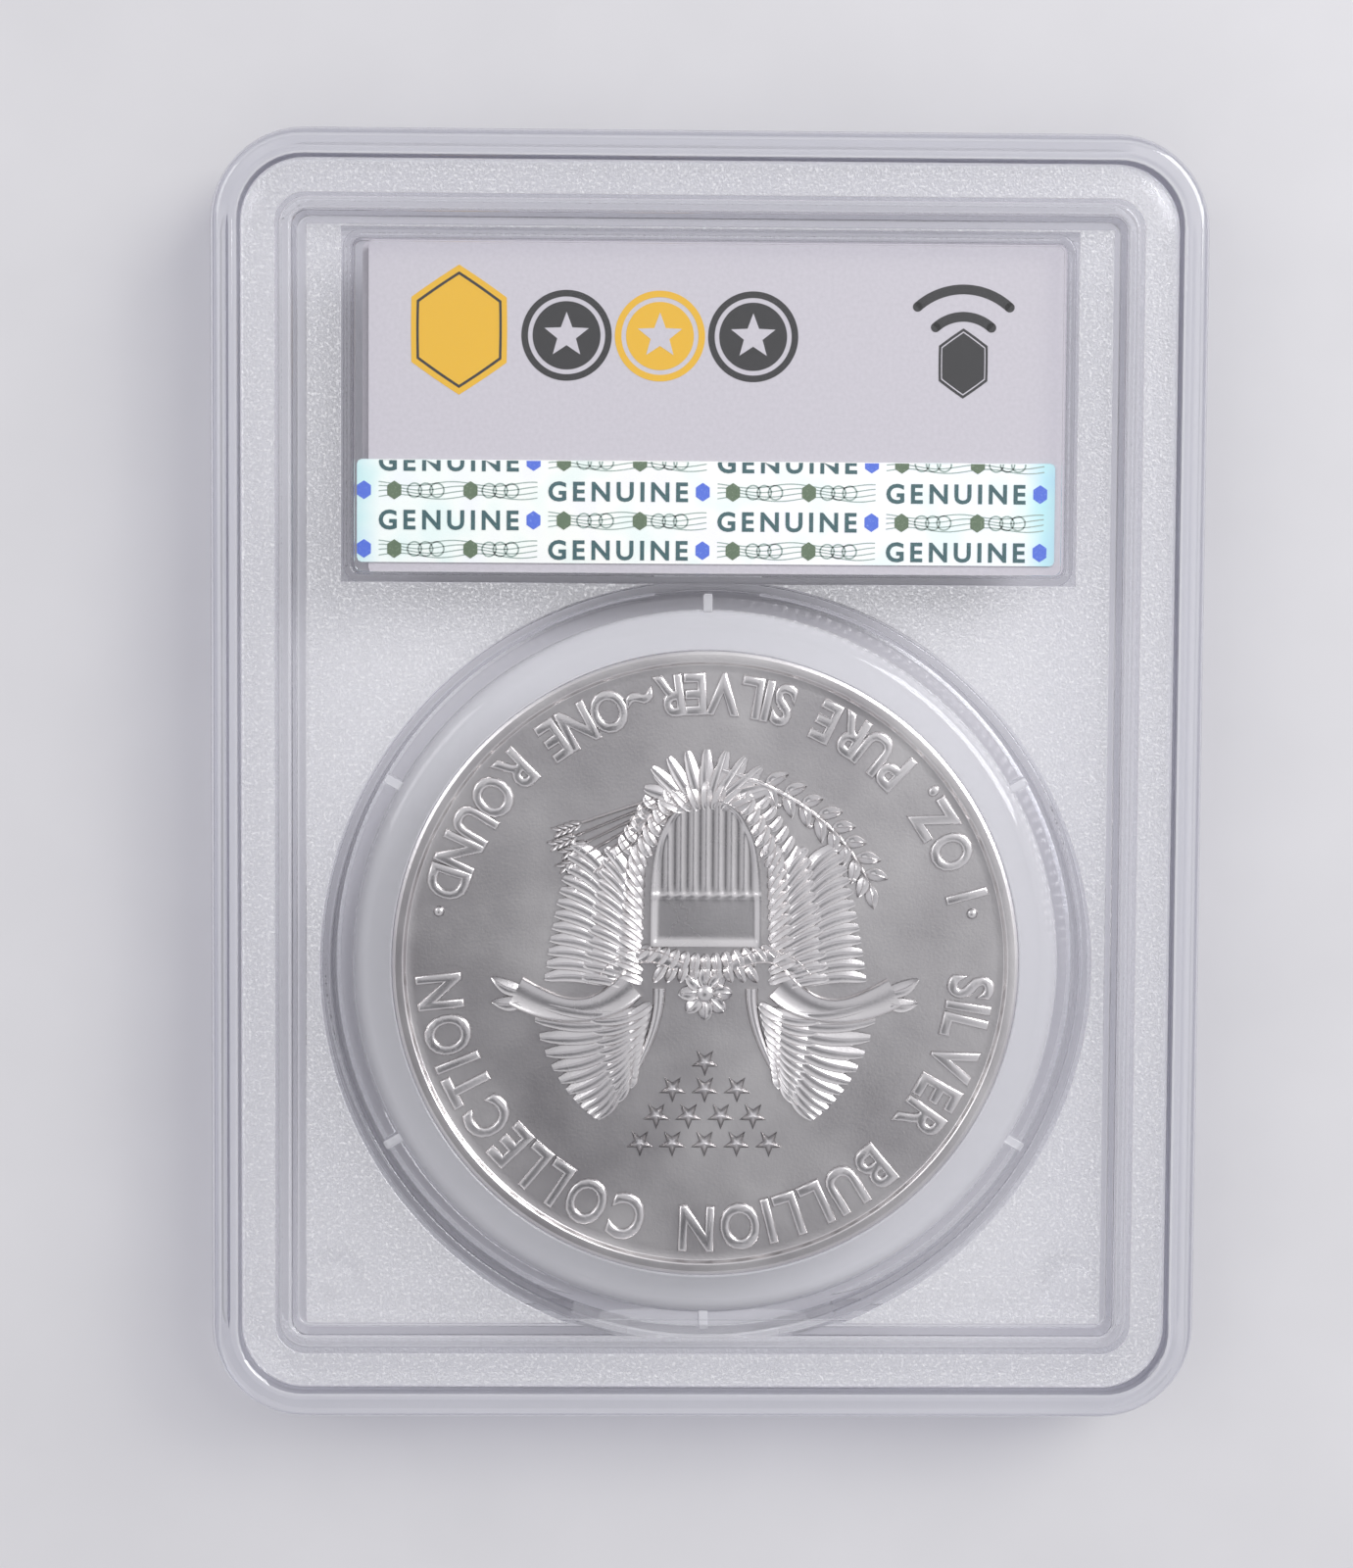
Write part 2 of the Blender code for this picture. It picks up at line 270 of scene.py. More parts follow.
def mesh_from(name: str, solid: Solid, sharp_angle: float = 35.0) -> Piece:
    """An object for a body, its doubles merged, its faces outward and its soft edges smooth."""
    mesh = bpy.data.meshes.new(name)
    mesh.from_pydata((solid.corners * MM).tolist(), [], solid.faces)
    tidy = bmesh.new()
    tidy.from_mesh(mesh)
    bmesh.ops.remove_doubles(tidy, verts=tidy.verts, dist=0.0005 * MM)
    bmesh.ops.recalc_face_normals(tidy, faces=tidy.faces)
    tidy.to_mesh(mesh)
    tidy.free()
    mesh.shade_smooth()
    mesh.set_sharp_from_angle(angle=math.radians(sharp_angle))
    piece = bpy.data.objects.new(name, mesh)
    bpy.context.scene.collection.objects.link(piece)
    return piece


def carved(piece: Piece, joined: list[Solid], cut: list[Solid]) -> Piece:
    """The piece with some bodies cut out of it and then others joined to it, as a plain mesh."""
    helpers = []
    for operation, solids in (("DIFFERENCE", cut), ("UNION", joined)):
        for solid in solids:
            helper = mesh_from("helper", solid)
            modifier = piece.modifiers.new(operation.lower(), "BOOLEAN")
            modifier.operation = operation
            modifier.solver = "EXACT"
            modifier.object = helper
            helpers.append(helper)
    bpy.context.view_layer.update()
    graph = bpy.context.evaluated_depsgraph_get()
    mesh = bpy.data.meshes.new_from_object(piece.evaluated_get(graph))
    piece.modifiers.clear()
    piece.data = mesh
    for helper in helpers:
        bpy.data.objects.remove(helper)
    return piece


def flat_faces_kept(piece: Piece) -> Piece:
    """Corner normals weighted by face area, so that broad clear faces stay optically flat."""
    piece.data.shade_smooth()
    piece.data.set_sharp_from_angle(angle=math.radians(35))
    modifier = piece.modifiers.new("flat_faces", "WEIGHTED_NORMAL")
    modifier.keep_sharp = True
    modifier.weight = 100
    return piece


def fitted(piece: Piece, body: Body, finish: Finish,
           replaces: tuple[str, ...] = ()) -> Piece:
    """Dress a piece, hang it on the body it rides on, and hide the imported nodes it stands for."""
    piece.data.materials.clear()
    piece.data.materials.append(finish.material())
    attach(piece, body.value)
    if replaces:
        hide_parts(*replaces)
    LOG.info("%s: %d faces on %s", piece.name, len(piece.data.polygons), body.value)
    return piece


# ---- Finishes ----

def linear(colour: str) -> tuple[float, float, float, float]:
    """An sRGB hex colour as linear red, green, blue and 1."""
    channels = np.array([int(colour[i:i + 2], 16) for i in (1, 3, 5)]) / 255
    low, high = channels / 12.92, ((channels + 0.055) / 1.055) ** 2.4
    red, green, blue = np.where(channels <= 0.04045, low, high).tolist()
    return red, green, blue, 1.0


def add_node(tree: Tree, kind: str, inputs: dict | None = None,
             **settings: object) -> bpy.types.Node:
    """Add a node with its settings, its values and its links.

    Args:
        tree: the node tree.
        kind: the node's type, without the ShaderNode prefix.
        inputs: value or output socket for each input, by name or number.
        settings: attributes of the node.

    Returns:
        The new node.
    """
    made = tree.nodes.new("ShaderNode" + kind)
    for name, value in settings.items():
        setattr(made, name, value)
    for name, value in (inputs or {}).items():
        if isinstance(value, bpy.types.NodeSocket):
            tree.links.new(value, made.inputs[name])
        else:
            made.inputs[name].default_value = value
    return made


def calculate(tree: Tree, operation: str, *values: object) -> Socket:
    """The result of one arithmetic step on sockets or numbers."""
    return add_node(tree, "Math", dict(enumerate(values)), operation=operation).outputs[0]


def ramp(tree: Tree, factor: Socket, *stops: tuple[float, str]) -> object:
    """Colours blended along a factor, from (place, sRGB hex) stops."""
    made = add_node(tree, "ValToRGB", {"Fac": factor})
    elements = made.color_ramp.elements
    while len(elements) < len(stops):
        elements.new(0.5)
    for element, (place, colour) in zip(elements, stops):
        element.position = place
        element.color = linear(colour)
    return made.outputs["Color"]


def step_up(tree: Tree, value: object, start: float, width: float) -> object:
    """0 below a value in metres, 1 above it, smooth over a width."""
    inputs = {"Value": value, "From Min": start - width / 2, "From Max": start + width / 2}
    return add_node(tree, "MapRange", inputs, interpolation_type="SMOOTHSTEP").outputs[0]


@dataclass(frozen=True)
class Finish:
    """A finish, made once as a Blender material of its own name."""

    name: str

    def material(self) -> bpy.types.Material:
        """The Blender material, made on first use."""
        found = bpy.data.materials.get(self.name)
        if found:
            return found
        made = bpy.data.materials.new(self.name)
        made.use_nodes = True
        made.node_tree.nodes.clear()
        output = add_node(made.node_tree, "OutputMaterial")
        made.node_tree.links.new(self.surface(made.node_tree), output.inputs["Surface"])
        return made

    def surface(self, tree: Tree) -> Socket:
        """Build the nodes and return the shader socket. Each finish has its own."""
        raise NotImplementedError

    def place(self, tree: Tree, centre: Place = (0, 0, 0)
              ) -> Socket:
        """Object coordinates in metres, measured from a centre."""
        coordinates = add_node(tree, "TexCoord").outputs["Object"]
        inputs = {"Vector": coordinates, "Location": tuple(-value for value in centre)}
        return add_node(tree, "Mapping", inputs).outputs["Vector"]

    def off_middle(self, tree: Tree) -> Socket:
        """Distance in metres from the plane half way between the slab's faces."""
        height = add_node(tree, "SeparateXYZ", {0: self.place(tree)}).outputs["Z"]
        return calculate(tree, "ABSOLUTE", calculate(tree, "SUBTRACT", height, MIDDLE * MM))

    def grain(self, tree: Tree, where: object, size_mm: float, detail: float = 2.0
              ) -> Socket:
        """Noise from 0 to 1 whose lumps are a given size."""
        inputs = {"Vector": where, "Scale": 1 / (size_mm * MM), "Detail": detail}
        return add_node(tree, "TexNoise", inputs).outputs["Fac"]

    def bumped(self, tree: Tree, height: object, strength: float, depth_mm: float,
               normal: object = None) -> Socket:
        """A surface normal tilted by a height pattern."""
        inputs = {"Height": height, "Strength": strength, "Distance": depth_mm * MM}
        if normal is not None:
            inputs["Normal"] = normal
        return add_node(tree, "Bump", inputs).outputs["Normal"]


def let_lamps_through(tree: Tree, clear: object, tint: object
                      ) -> Socket:
    """Clear plastic for what looks at it, an open tinted pane for light on its way to what is inside.

    Rays that leave a matt or a mirror-like surface, and rays sent to the lamps, pass straight
    through, so that the coin, the card and the table are lit as evenly as through real plastic.
    """
    path = add_node(tree, "LightPath").outputs
    straight = calculate(tree, "SUBTRACT", 1.0, path["Is Transmission Ray"])
    mirrored = calculate(tree, "MULTIPLY", path["Is Glossy Ray"], straight)
    passing = calculate(tree, "MAXIMUM", path["Is Shadow Ray"], path["Is Diffuse Ray"])
    passing = calculate(tree, "MAXIMUM", passing, mirrored)
    pane = add_node(tree, "BsdfTransparent", {"Color": tint})
    return add_node(tree, "MixShader", {0: passing, 1: clear, 2: pane.outputs[0]}).outputs[0]


@dataclass(frozen=True)
class MouldedStyrene(Finish):
    """Crystal polystyrene, injection moulded: polished windows and walls, spark-eroded frosting.

    The eye gets sharp bright lines from the polished rims and ribs, and a fine silky grain with
    small glints on the frosted band and field of both outer faces.
    """

    index: float = 1.57
    tint: str = "#fefeff"
    pane_tint: str = "#fafafb"
    rim_tint: str = "#e6e6ea"
    half_size: Pair = (31.75, 41.275)
    corner: float = 6.0
    band: Pair = (1.95, 4.05)
    field_inset: float = 6.05
    seat: Place = (0.0, -12.0, 24.85)
    label_half: Pair = (23.5, 11.25)
    label_centre: Pair = (0.0, 23.83)
    grain_mm: float = 0.16

    def inset(self, tree: Tree) -> Socket:
        """Distance in from the slab's round-cornered edge.

        With a and b the distances past the corner centres' lines, it is the corner radius less
        the length of their positive parts, less the greater of the two where both are negative.
        """
        split = add_node(tree, "SeparateXYZ", {0: self.place(tree)}).outputs
        past = [calculate(tree, "SUBTRACT", calculate(tree, "ABSOLUTE", split[axis]),
                          (half - self.corner) * MM) for axis, half in zip("XY", self.half_size)]
        corner = [calculate(tree, "MAXIMUM", distance, 0.0) for distance in past]
        outside = add_node(tree, "VectorMath", {0: add_node(tree, "CombineXYZ", {
            0: corner[0], 1: corner[1]}).outputs[0]}, operation="LENGTH").outputs["Value"]
        inside = calculate(tree, "MINIMUM", calculate(tree, "MAXIMUM", *past), 0.0)
        return calculate(tree, "SUBTRACT", self.corner * MM,
                         calculate(tree, "ADD", outside, inside))

    def frosting(self, tree: Tree, inset: Socket
                 ) -> Socket:
        """1 on the frosted band and field, 0 on the round coin window, label window and wall line."""
        edge = 0.08 * MM
        split = add_node(tree, "SeparateXYZ", {0: self.place(tree)}).outputs
        band = calculate(tree, "MULTIPLY", step_up(tree, inset, self.band[0] * MM, edge),
                         calculate(tree, "SUBTRACT", 1.0,
                                   step_up(tree, inset, self.band[1] * MM, edge)))
        from_seat = add_node(tree, "VectorMath", {0: self.place(
            tree, (self.seat[0] * MM, self.seat[1] * MM, 0))}, operation="MULTIPLY")
        from_seat.inputs[1].default_value = (1, 1, 0)
        distance = add_node(tree, "VectorMath", {0: from_seat.outputs[0]}, operation="LENGTH")
        outside_seat = step_up(tree, distance.outputs["Value"], self.seat[2] * MM, edge)
        beside = calculate(tree, "SUBTRACT", calculate(tree, "ABSOLUTE", split["X"]),
                           self.label_half[0] * MM)
        offset = calculate(tree, "SUBTRACT", split["Y"], self.label_centre[1] * MM)
        beyond = calculate(tree, "SUBTRACT", calculate(tree, "ABSOLUTE", offset),
                           self.label_half[1] * MM)
        outside_label = step_up(tree, calculate(tree, "MAXIMUM", beside, beyond), 0.0, edge)
        middle = calculate(tree, "MULTIPLY", step_up(tree, inset, self.field_inset * MM, edge),
                           calculate(tree, "MULTIPLY", outside_seat, outside_label))
        outer_face = step_up(tree, self.off_middle(tree), 3.1 * MM, 0.1 * MM)
        return calculate(tree, "MULTIPLY", calculate(tree, "MAXIMUM", band, middle), outer_face)

    def surface(self, tree: Tree) -> Socket:
        """Rough and grainy where frosted, almost perfectly smooth elsewhere."""
        inset = self.inset(tree)
        frost = self.frosting(tree, inset)
        where = self.place(tree)
        lumps = self.grain(tree, where, self.grain_mm, detail=3.0)
        height = calculate(tree, "MULTIPLY", lumps, frost)
        flow = self.grain(tree, where, 9.0, detail=0.0)
        rough = calculate(tree, "MULTIPLY_ADD", frost, 0.3, 0.015)
        normal = self.bumped(tree, height, 1.0, 0.08)
        normal = self.bumped(tree, flow, 0.12, 0.03, normal)
        specks = step_up(tree, self.grain(tree, where, 0.2, detail=1.0), 0.6, 0.12)
        veil = calculate(tree, "MULTIPLY", frost, calculate(tree, "MULTIPLY_ADD", specks, 0.3, 0.19))
        walls = calculate(tree, "SUBTRACT", 1.0, calculate(
            tree, "MAXIMUM", step_up(tree, self.off_middle(tree), 1.6 * MM, 0.1 * MM),
            step_up(tree, inset, self.field_inset * MM, 0.1 * MM)))
        veil = calculate(tree, "MULTIPLY_ADD", walls, 0.28, veil)
        shader = add_node(tree, "BsdfPrincipled", {
            "Base Color": linear(self.tint), "Roughness": rough, "IOR": self.index,
            "Transmission Weight": calculate(tree, "SUBTRACT", 1.0, veil),
            "Normal": normal})
        inside = step_up(tree, inset, self.band[0] * MM, 0.1 * MM)
        tint = ramp(tree, inside, (0.0, self.rim_tint), (1.0, self.pane_tint))
        return let_lamps_through(tree, shader.outputs[0], tint)


@dataclass(frozen=True)
class GripRing(Finish):
    """Clear soft polyethylene ring: a little milky, with blurred highlights."""

    index: float = 1.5
    tint: str = "#fdfdfe"

    def surface(self, tree: Tree) -> Socket:
        """Clear plastic with a faint ripple from the mould."""
        ripple = self.grain(tree, self.place(tree), 3.0, detail=1.0)
        shader = add_node(tree, "BsdfPrincipled", {
            "Base Color": linear(self.tint), "Roughness": 0.06, "IOR": self.index,
            "Transmission Weight": 0.72, "Normal": self.bumped(tree, ripple, 0.3, 0.05)})
        return let_lamps_through(tree, shader.outputs[0], linear("#fbfbfc"))


@dataclass(frozen=True)
class StruckSilver(Finish):
    """Fine silver struck in sandblasted dies: a satin grey field with soft flow lines."""

    colour: str = "#f6f3f1"
    shade: str = "#dcd8d8"
    # Colour of the relief's lowest parts, next to the field: painted shade in the recesses.
    recess_shade: str = "#fafafa"
    roughness: float = 0.32
    grain_depth_mm: float = 0.012

    def surface(self, tree: Tree) -> Socket:
        """A metal with blasted grain, cloudy patches from handling the blank, and painted shade on the
        relief's low parts next to the field.
        """
        where = self.place(tree)
        clouds = self.grain(tree, where, 7.0, detail=3.0)
        blasted = self.grain(tree, where, 0.16, detail=2.0)
        rough = calculate(tree, "MULTIPLY_ADD", clouds, 0.16, self.roughness - 0.08)
        # Painted shade: the colour darkens towards the recess shade where the relief comes down to the
        # field, standing in for shade between feathers and letters.
        rise = add_node(tree, "MapRange", {"Value": self.off_middle(tree), "From Min": 1.12 * MM,
                                           "From Max": 1.3 * MM}).outputs[0]
        painted_recess_shade = ramp(tree, rise, (0.0, self.recess_shade), (1.0, "#ffffff"))
        struck = ramp(tree, clouds, (0.3, self.shade), (0.7, self.colour))
        colour = add_node(tree, "Mix", {0: 1.0, 6: struck, 7: painted_recess_shade}, data_type="RGBA",
                          blend_type="MULTIPLY").outputs[2]
        shader = add_node(tree, "BsdfPrincipled", {
            "Base Color": colour,
            "Roughness": rough, "Metallic": 1.0,
            "Normal": self.bumped(tree, blasted, 0.6, self.grain_depth_mm)})
        return shader.outputs[0]


@dataclass(frozen=True)
class Mottled(Finish):
    """An opaque material whose colour wanders between two shades in lumps of a real size.

    The colour is the shade below the first of the two stops and the other colour above the
    second, roughness rises from its base by its spread with the lumps, and a bump depth of 0
    leaves the surface flat.
    """

    shade: str
    colour: str
    lump_mm: float
    roughness: float
    spread: float = 0.0
    metallic: float = 0.0
    bump: float = 0.3
    depth_mm: float = 0.0
    detail: float = 2.0
    stops: Pair = (0.3, 0.7)
    stretch: Place = (1.0, 1.0, 1.0)

    def surface(self, tree: Tree) -> Socket:
        """Noise in object space, turned into colour, roughness and a slight relief."""
        where = add_node(tree, "Mapping", {"Vector": self.place(tree), "Scale": self.stretch})
        lumps = self.grain(tree, where.outputs["Vector"], self.lump_mm, self.detail)
        low, high = self.stops
        inputs = {"Base Color": ramp(tree, lumps, (low, self.shade), (high, self.colour)),
                  "Roughness": self.roughness, "Metallic": self.metallic}
        if self.spread:
            inputs["Roughness"] = calculate(tree, "MULTIPLY_ADD", lumps, self.spread, self.roughness)
        if self.depth_mm:
            inputs["Normal"] = self.bumped(tree, lumps, self.bump, self.depth_mm)
        return add_node(tree, "BsdfPrincipled", inputs).outputs[0]


def ink(name: str, colour: str, pinhole: str) -> Mottled:
    """Offset ink: mostly solid, with pinholes that let some of the card show through."""
    return Mottled(name, colour, pinhole, 0.15, 0.35, spread=0.2, stops=(0.58, 0.75))


@dataclass(frozen=True)
class SecurityFoil(Finish):
    """Embossed polyester foil: white with a pastel play of colour, stronger at the two ends."""

    centre: Place = (-0.13, 17.2, 4.6)
    length: float = 45.0

    def surface(self, tree: Tree) -> Socket:
        """Colour follows the strip's length, broken up by slow waves of tint, and the foil glows faintly
        in that colour as painted light.
        """
        centre = tuple(value * MM for value in self.centre)
        where = self.place(tree, centre)
        split = add_node(tree, "SeparateXYZ", {0: where}).outputs
        along = calculate(tree, "MULTIPLY_ADD", split["X"], 1 / (self.length * MM), 0.5)
        ends = ramp(tree, along, (0.0, "#a9e3e6"), (0.035, "#eef9f4"), (0.3, "#f6f9f2"),
                    (0.7, "#fbfcfb"), (0.955, "#f1fbfb"), (0.985, "#8fe2ea"), (1.0, "#7fd0e0"))
        wave = self.grain(tree, where, 3.2, detail=1.0)
        play = ramp(tree, wave, (0.35, "#d7f3ee"), (0.5, "#fdfdf6"), (0.65, "#f3f0fb"))
        colour = add_node(tree, "Mix", {0: 0.35, 6: ends, 7: play}, data_type="RGBA")
        # The faint glow in the foil's own colour is painted light, standing in for the shine of the
        # foil.
        shader = add_node(tree, "BsdfPrincipled", {
            "Base Color": colour.outputs[2], "Roughness": 0.35,
            "Emission Color": colour.outputs[2], "Emission Strength": 0.12,
            "Normal": self.bumped(tree, self.grain(tree, where, 0.3), 0.2, 0.01)})
        return shader.outputs[0]


STYRENE = MouldedStyrene("moulded_crystal_styrene")
RING_PLASTIC = GripRing("clear_grip_ring")
FIELD_SILVER = StruckSilver("struck_silver_field")
# Relief silver: its low parts next to the field are painted dark grey, as painted shade between feathers
# and letters.
RELIEF_SILVER = StruckSilver("struck_silver_relief", "#f4f1f0", "#e6e3e2", "#57555a", 0.28, 0.01)
FOIL = SecurityFoil("embossed_security_foil")
# Coated card: an even, matt lavender grey with paper fibre just coarse enough to show.
CARD = Mottled("coated_label_card", "#cac6cc", "#d1cdd3", 0.25, 0.62, depth_mm=0.01, detail=4.0)
# Amber polyester film: warm and satin, streaked along its length.
TAG_FILM = Mottled("tag_film", "#b98d4e", "#d0a868", 0.3, 0.3, stretch=(0.05, 1.0, 1.0))
# Enamelled copper wire: a warm metal, darkened in patches.
COIL_COPPER = Mottled("coil_copper", "#a4552f", "#c9783f", 1.5, 0.3, metallic=1.0)
# Black epoxy: a dark satin blob with a moulded grain.
CHIP_RESIN = Mottled("chip_resin", "#141416", "#26262a", 0.08, 0.5, bump=0.4, depth_mm=0.01)
# Table: a pale matt sheet with very soft mottling.
TABLE_SHEET = Mottled("table_sheet", "#cfced1", "#d3d2d5", 12.0, 0.8, detail=3.0)
BLACK_INK = ink("black_ink", "#09080b", "#232227")
YELLOW_INK = ink("yellow_ink", "#efb900", "#efbe0a")
TEAL_INK = ink("teal_foil_ink", "#2b5a5e", "#4d8080")
BLUE_INK = ink("blue_foil_ink", "#4a6fe0", "#7d9bf0")
OLIVE_INK = ink("olive_foil_ink", "#5c7355", "#8b9c80")
GREY_INK = ink("grey_foil_ink", "#9fb3aa", "#c3d2ca")


# ---- The two shells ----

@dataclass
class WeldedShells:
    """Rear and front halves of the holder, with rounded rims, walls, ribs and pads."""

    half_size: Pair = (31.75, 41.275)
    corner: float = 6.0
    thickness: float = 8.2
    rim_width: float = 1.9
    rim_height: float = 0.8
    rim_rounding: float = 0.72
    window: float = 1.6
    gap: float = 0.1
    tongue: Pair = (0.5, 0.4)
    wall_inset: float = 4.1
    wall_width: float = 0.88
    rib_width: float = 0.6
    edge: float = 0.16
    lead: float = 0.12
    wall_rounding: float = 0.25
    rib_rounding: float = 0.18
    coin_centre: Pair = (0.0, -12.0)
    seat_radius: float = 24.2
    cove: float = 1.5
    cove_reach: float = 1.9
    pocket_half: Pair = (22.9, 10.675)
    pocket_centre: Pair = (0.0, 23.825)
    pocket_corner: float = 0.6
    pocket_levels: Pair = (3.45, 4.75)
    posts: tuple[Pair, ...] = ((-24.0, -32.9), (24.0, -32.9))
    post_radius: float = 1.35
    cap_inset: float = 9.0

    def outline(self) -> RoundedOutline:
        """The slab's outline seen from above."""
        return RoundedOutline(*self.half_size, self.corner)

    def pocket(self, grow: float = 0.0) -> RoundedOutline:
        """The label pocket's outline, grown outwards."""
        half_x, half_y = (half + grow for half in self.pocket_half)
        return RoundedOutline(half_x, half_y, self.pocket_corner + grow, self.pocket_centre, steps=6)

    def levels(self) -> tuple[float, float, float, float]:
        """Heights of the front window's two faces and the rear window's two faces."""
        top = self.thickness - self.rim_height
        return self.rim_height, self.rim_height + self.window, top - self.window, top

    def rim(self, face: float, crest: float, seam: float) -> list[Place]:
        """The section from the window's outer face over the rim to the seam between the halves."""
        inwards = math.copysign(self.lead, crest - seam)
        return [(self.cap_inset, face, 0), (self.rim_width, face, self.wall_rounding),
                (self.rim_width - self.lead, crest, self.rim_rounding),
                (0, crest, self.rim_rounding), (0, seam + inwards, 0), (self.lead, seam, 0)]

    def rear(self) -> Piece:
        """The rear half: one section carried round the outline, then the label pad joined on."""
        _, floor, roof, face = self.levels()
        seam = (self.thickness + self.gap) / 2
        near = (self.rim_width - self.tongue[0]) / 2
        far = near + self.tongue[0]
        low = seam - self.tongue[1] - self.gap / 2
        inner = self.wall_inset + self.wall_width + self.gap
        foot = floor + self.gap
        edge = self.edge
        section = self.rim(face, self.thickness, seam) + [
            (near, seam, 0), (near, low, 0.1), (far, low, 0.1), (far, seam, 0),
            (self.rim_width, seam, 0.1), (self.rim_width, roof, edge),
            (inner, roof, edge), (inner, foot, self.wall_rounding),
            (inner + self.wall_width, foot, self.wall_rounding),
            (inner + self.wall_width, roof, edge), (self.cap_inset, roof, 0)]
        shell = mesh_from("clear_rear_shell", lofted(swept(filleted(section, False), self.outline())))
        seat = RoundOutline(self.seat_radius + self.rib_width + self.gap, self.coin_centre)
        pad = plate(self.pocket(-self.gap), self.pocket_levels[1], roof + 0.5, 0.12)
        carved(shell, [pad], [plate(seat, 0.0, roof - 0.04)])
        return fitted(flat_faces_kept(shell), Body.SLAB, STYRENE, ("rear_shell",))

    def front(self) -> Piece:
        """The front half: section carried round the outline, then ribs, seat, pad and posts."""
        face, floor, roof, _ = self.levels()
        seam = (self.thickness - self.gap) / 2
        near = (self.rim_width - self.tongue[0]) / 2 - self.gap
        far = near + self.tongue[0] + 2 * self.gap
        low = seam - self.tongue[1] - self.gap
        top = roof - self.gap
        edge = self.edge
        wall = self.wall_inset + self.wall_width
        section = self.rim(face, 0.0, seam) + [
            (near, seam, 0), (near, low, 0.1), (far, low, 0.1), (far, seam, 0),
            (self.rim_width, seam, 0.1), (self.rim_width, floor, edge),
            (self.wall_inset, floor, edge), (self.wall_inset, top, self.wall_rounding),
            (wall, top, self.wall_rounding), (wall, floor, edge), (self.cap_inset, floor, 0)]
        shell = mesh_from("clear_front_shell",
                          lofted(swept(filleted(section, False), self.outline())))
        seat_cut = RoundOutline(self.seat_radius + self.rib_width / 2, self.coin_centre)
        root = floor - 0.6
        joined = [self.rib(self.pocket(self.rib_width), root, top),
                  self.seat(root - 0.1, floor, top - 0.03),
                  plate(self.pocket(self.rib_width / 2), root - 0.05, self.pocket_levels[0])]
        for centre in self.posts:
            joined.append(plate(RoundOutline(self.post_radius, centre, 32), root, top, 0.2))
        carved(shell, joined, [plate(seat_cut, floor + 0.05, roof + 1)])
        return fitted(flat_faces_kept(shell), Body.SLAB, STYRENE, ("front_shell",))

    def seat(self, root: float, floor: float, high: float) -> Solid:
        """The round coin seat: an upright rib whose inner side runs into the floor in a wide cove."""
        radius = self.seat_radius + self.rib_width
        foot, far = floor + 0.02, self.rib_width + self.cove_reach
        section = [(0, root, 0), (0, high, self.rib_rounding),
                   (self.rib_width, high, self.rib_rounding), (self.rib_width, foot, self.cove),
                   (far, foot, 0), (far, root, 0)]
        return closed_loop(swept(filleted(section, True, 8), RoundOutline(radius, self.coin_centre)))

    def rib(self, outline: Outline, low: float, high: float) -> Solid:
        """An upright rib of even width just inside an outline, with rounded upper edges."""
        section = [(0, low, 0), (0, high, self.rib_rounding),
                   (self.rib_width, high, self.rib_rounding), (self.rib_width, low, 0)]
        return closed_loop(swept(filleted(section, True), outline))


# ---- The coin and its ring ----

@dataclass
class CentringRing:
    """The clear ring that grips the coin's edge, with six ribs to the round seat."""

    centre: Pair = (0.0, -12.0)
    level: float = MIDDLE
    bore: float = 20.35
    radius: float = 23.0
    height: float = 3.3
    rounding: float = 1.3
    reach: float = 24.0
    rib_count: int = 6
    rib_width: float = 0.6

    def build(self) -> Piece:
        """A rounded section turned about the coin's axis, with the ribs joined on."""
        wide = self.radius - self.bore
        half = self.height / 2
        section = [(0, half, self.rounding), (0, -half, self.rounding),
                   (wide, -half, 0.12), (wide, half, 0.12)]
        ring = closed_loop(swept(filleted(section, True, 7), RoundOutline(self.radius)))
        piece = mesh_from("clear_coin_ring", ring.moved(*self.centre, self.level))
        start = self.radius - 0.3
        middle = (start + self.reach) / 2
        outline = RoundedOutline((self.reach - start) / 2, self.rib_width / 2, 0.15, (middle, 0), 4,
                                 least_radius=0.02)
        rib = plate(outline, 0.9 - half, half - 0.6, 0.06)
        ribs = []
        for number in range(self.rib_count):
            angle = math.pi / 2 + number * 2 * math.pi / self.rib_count
            ribs.append(rib.turned(angle).moved(*self.centre, self.level))
        carved(piece, ribs, [])
        return fitted(flat_faces_kept(piece), Body.SLAB, RING_PLASTIC, ("coin_ring",))


class Side(Enum):
    """Which face of the coin a design is struck on, as signs for its across, up and out axes."""

    REAR = (-1.0, -1.0, 1.0)
    FRONT = (-1.0, 1.0, -1.0)


def towards(angle: float, reach: float = 1.0) -> np.ndarray:
    """The flat step of a length in a direction given in radians."""
    return reach * np.array([math.cos(angle), math.sin(angle)])


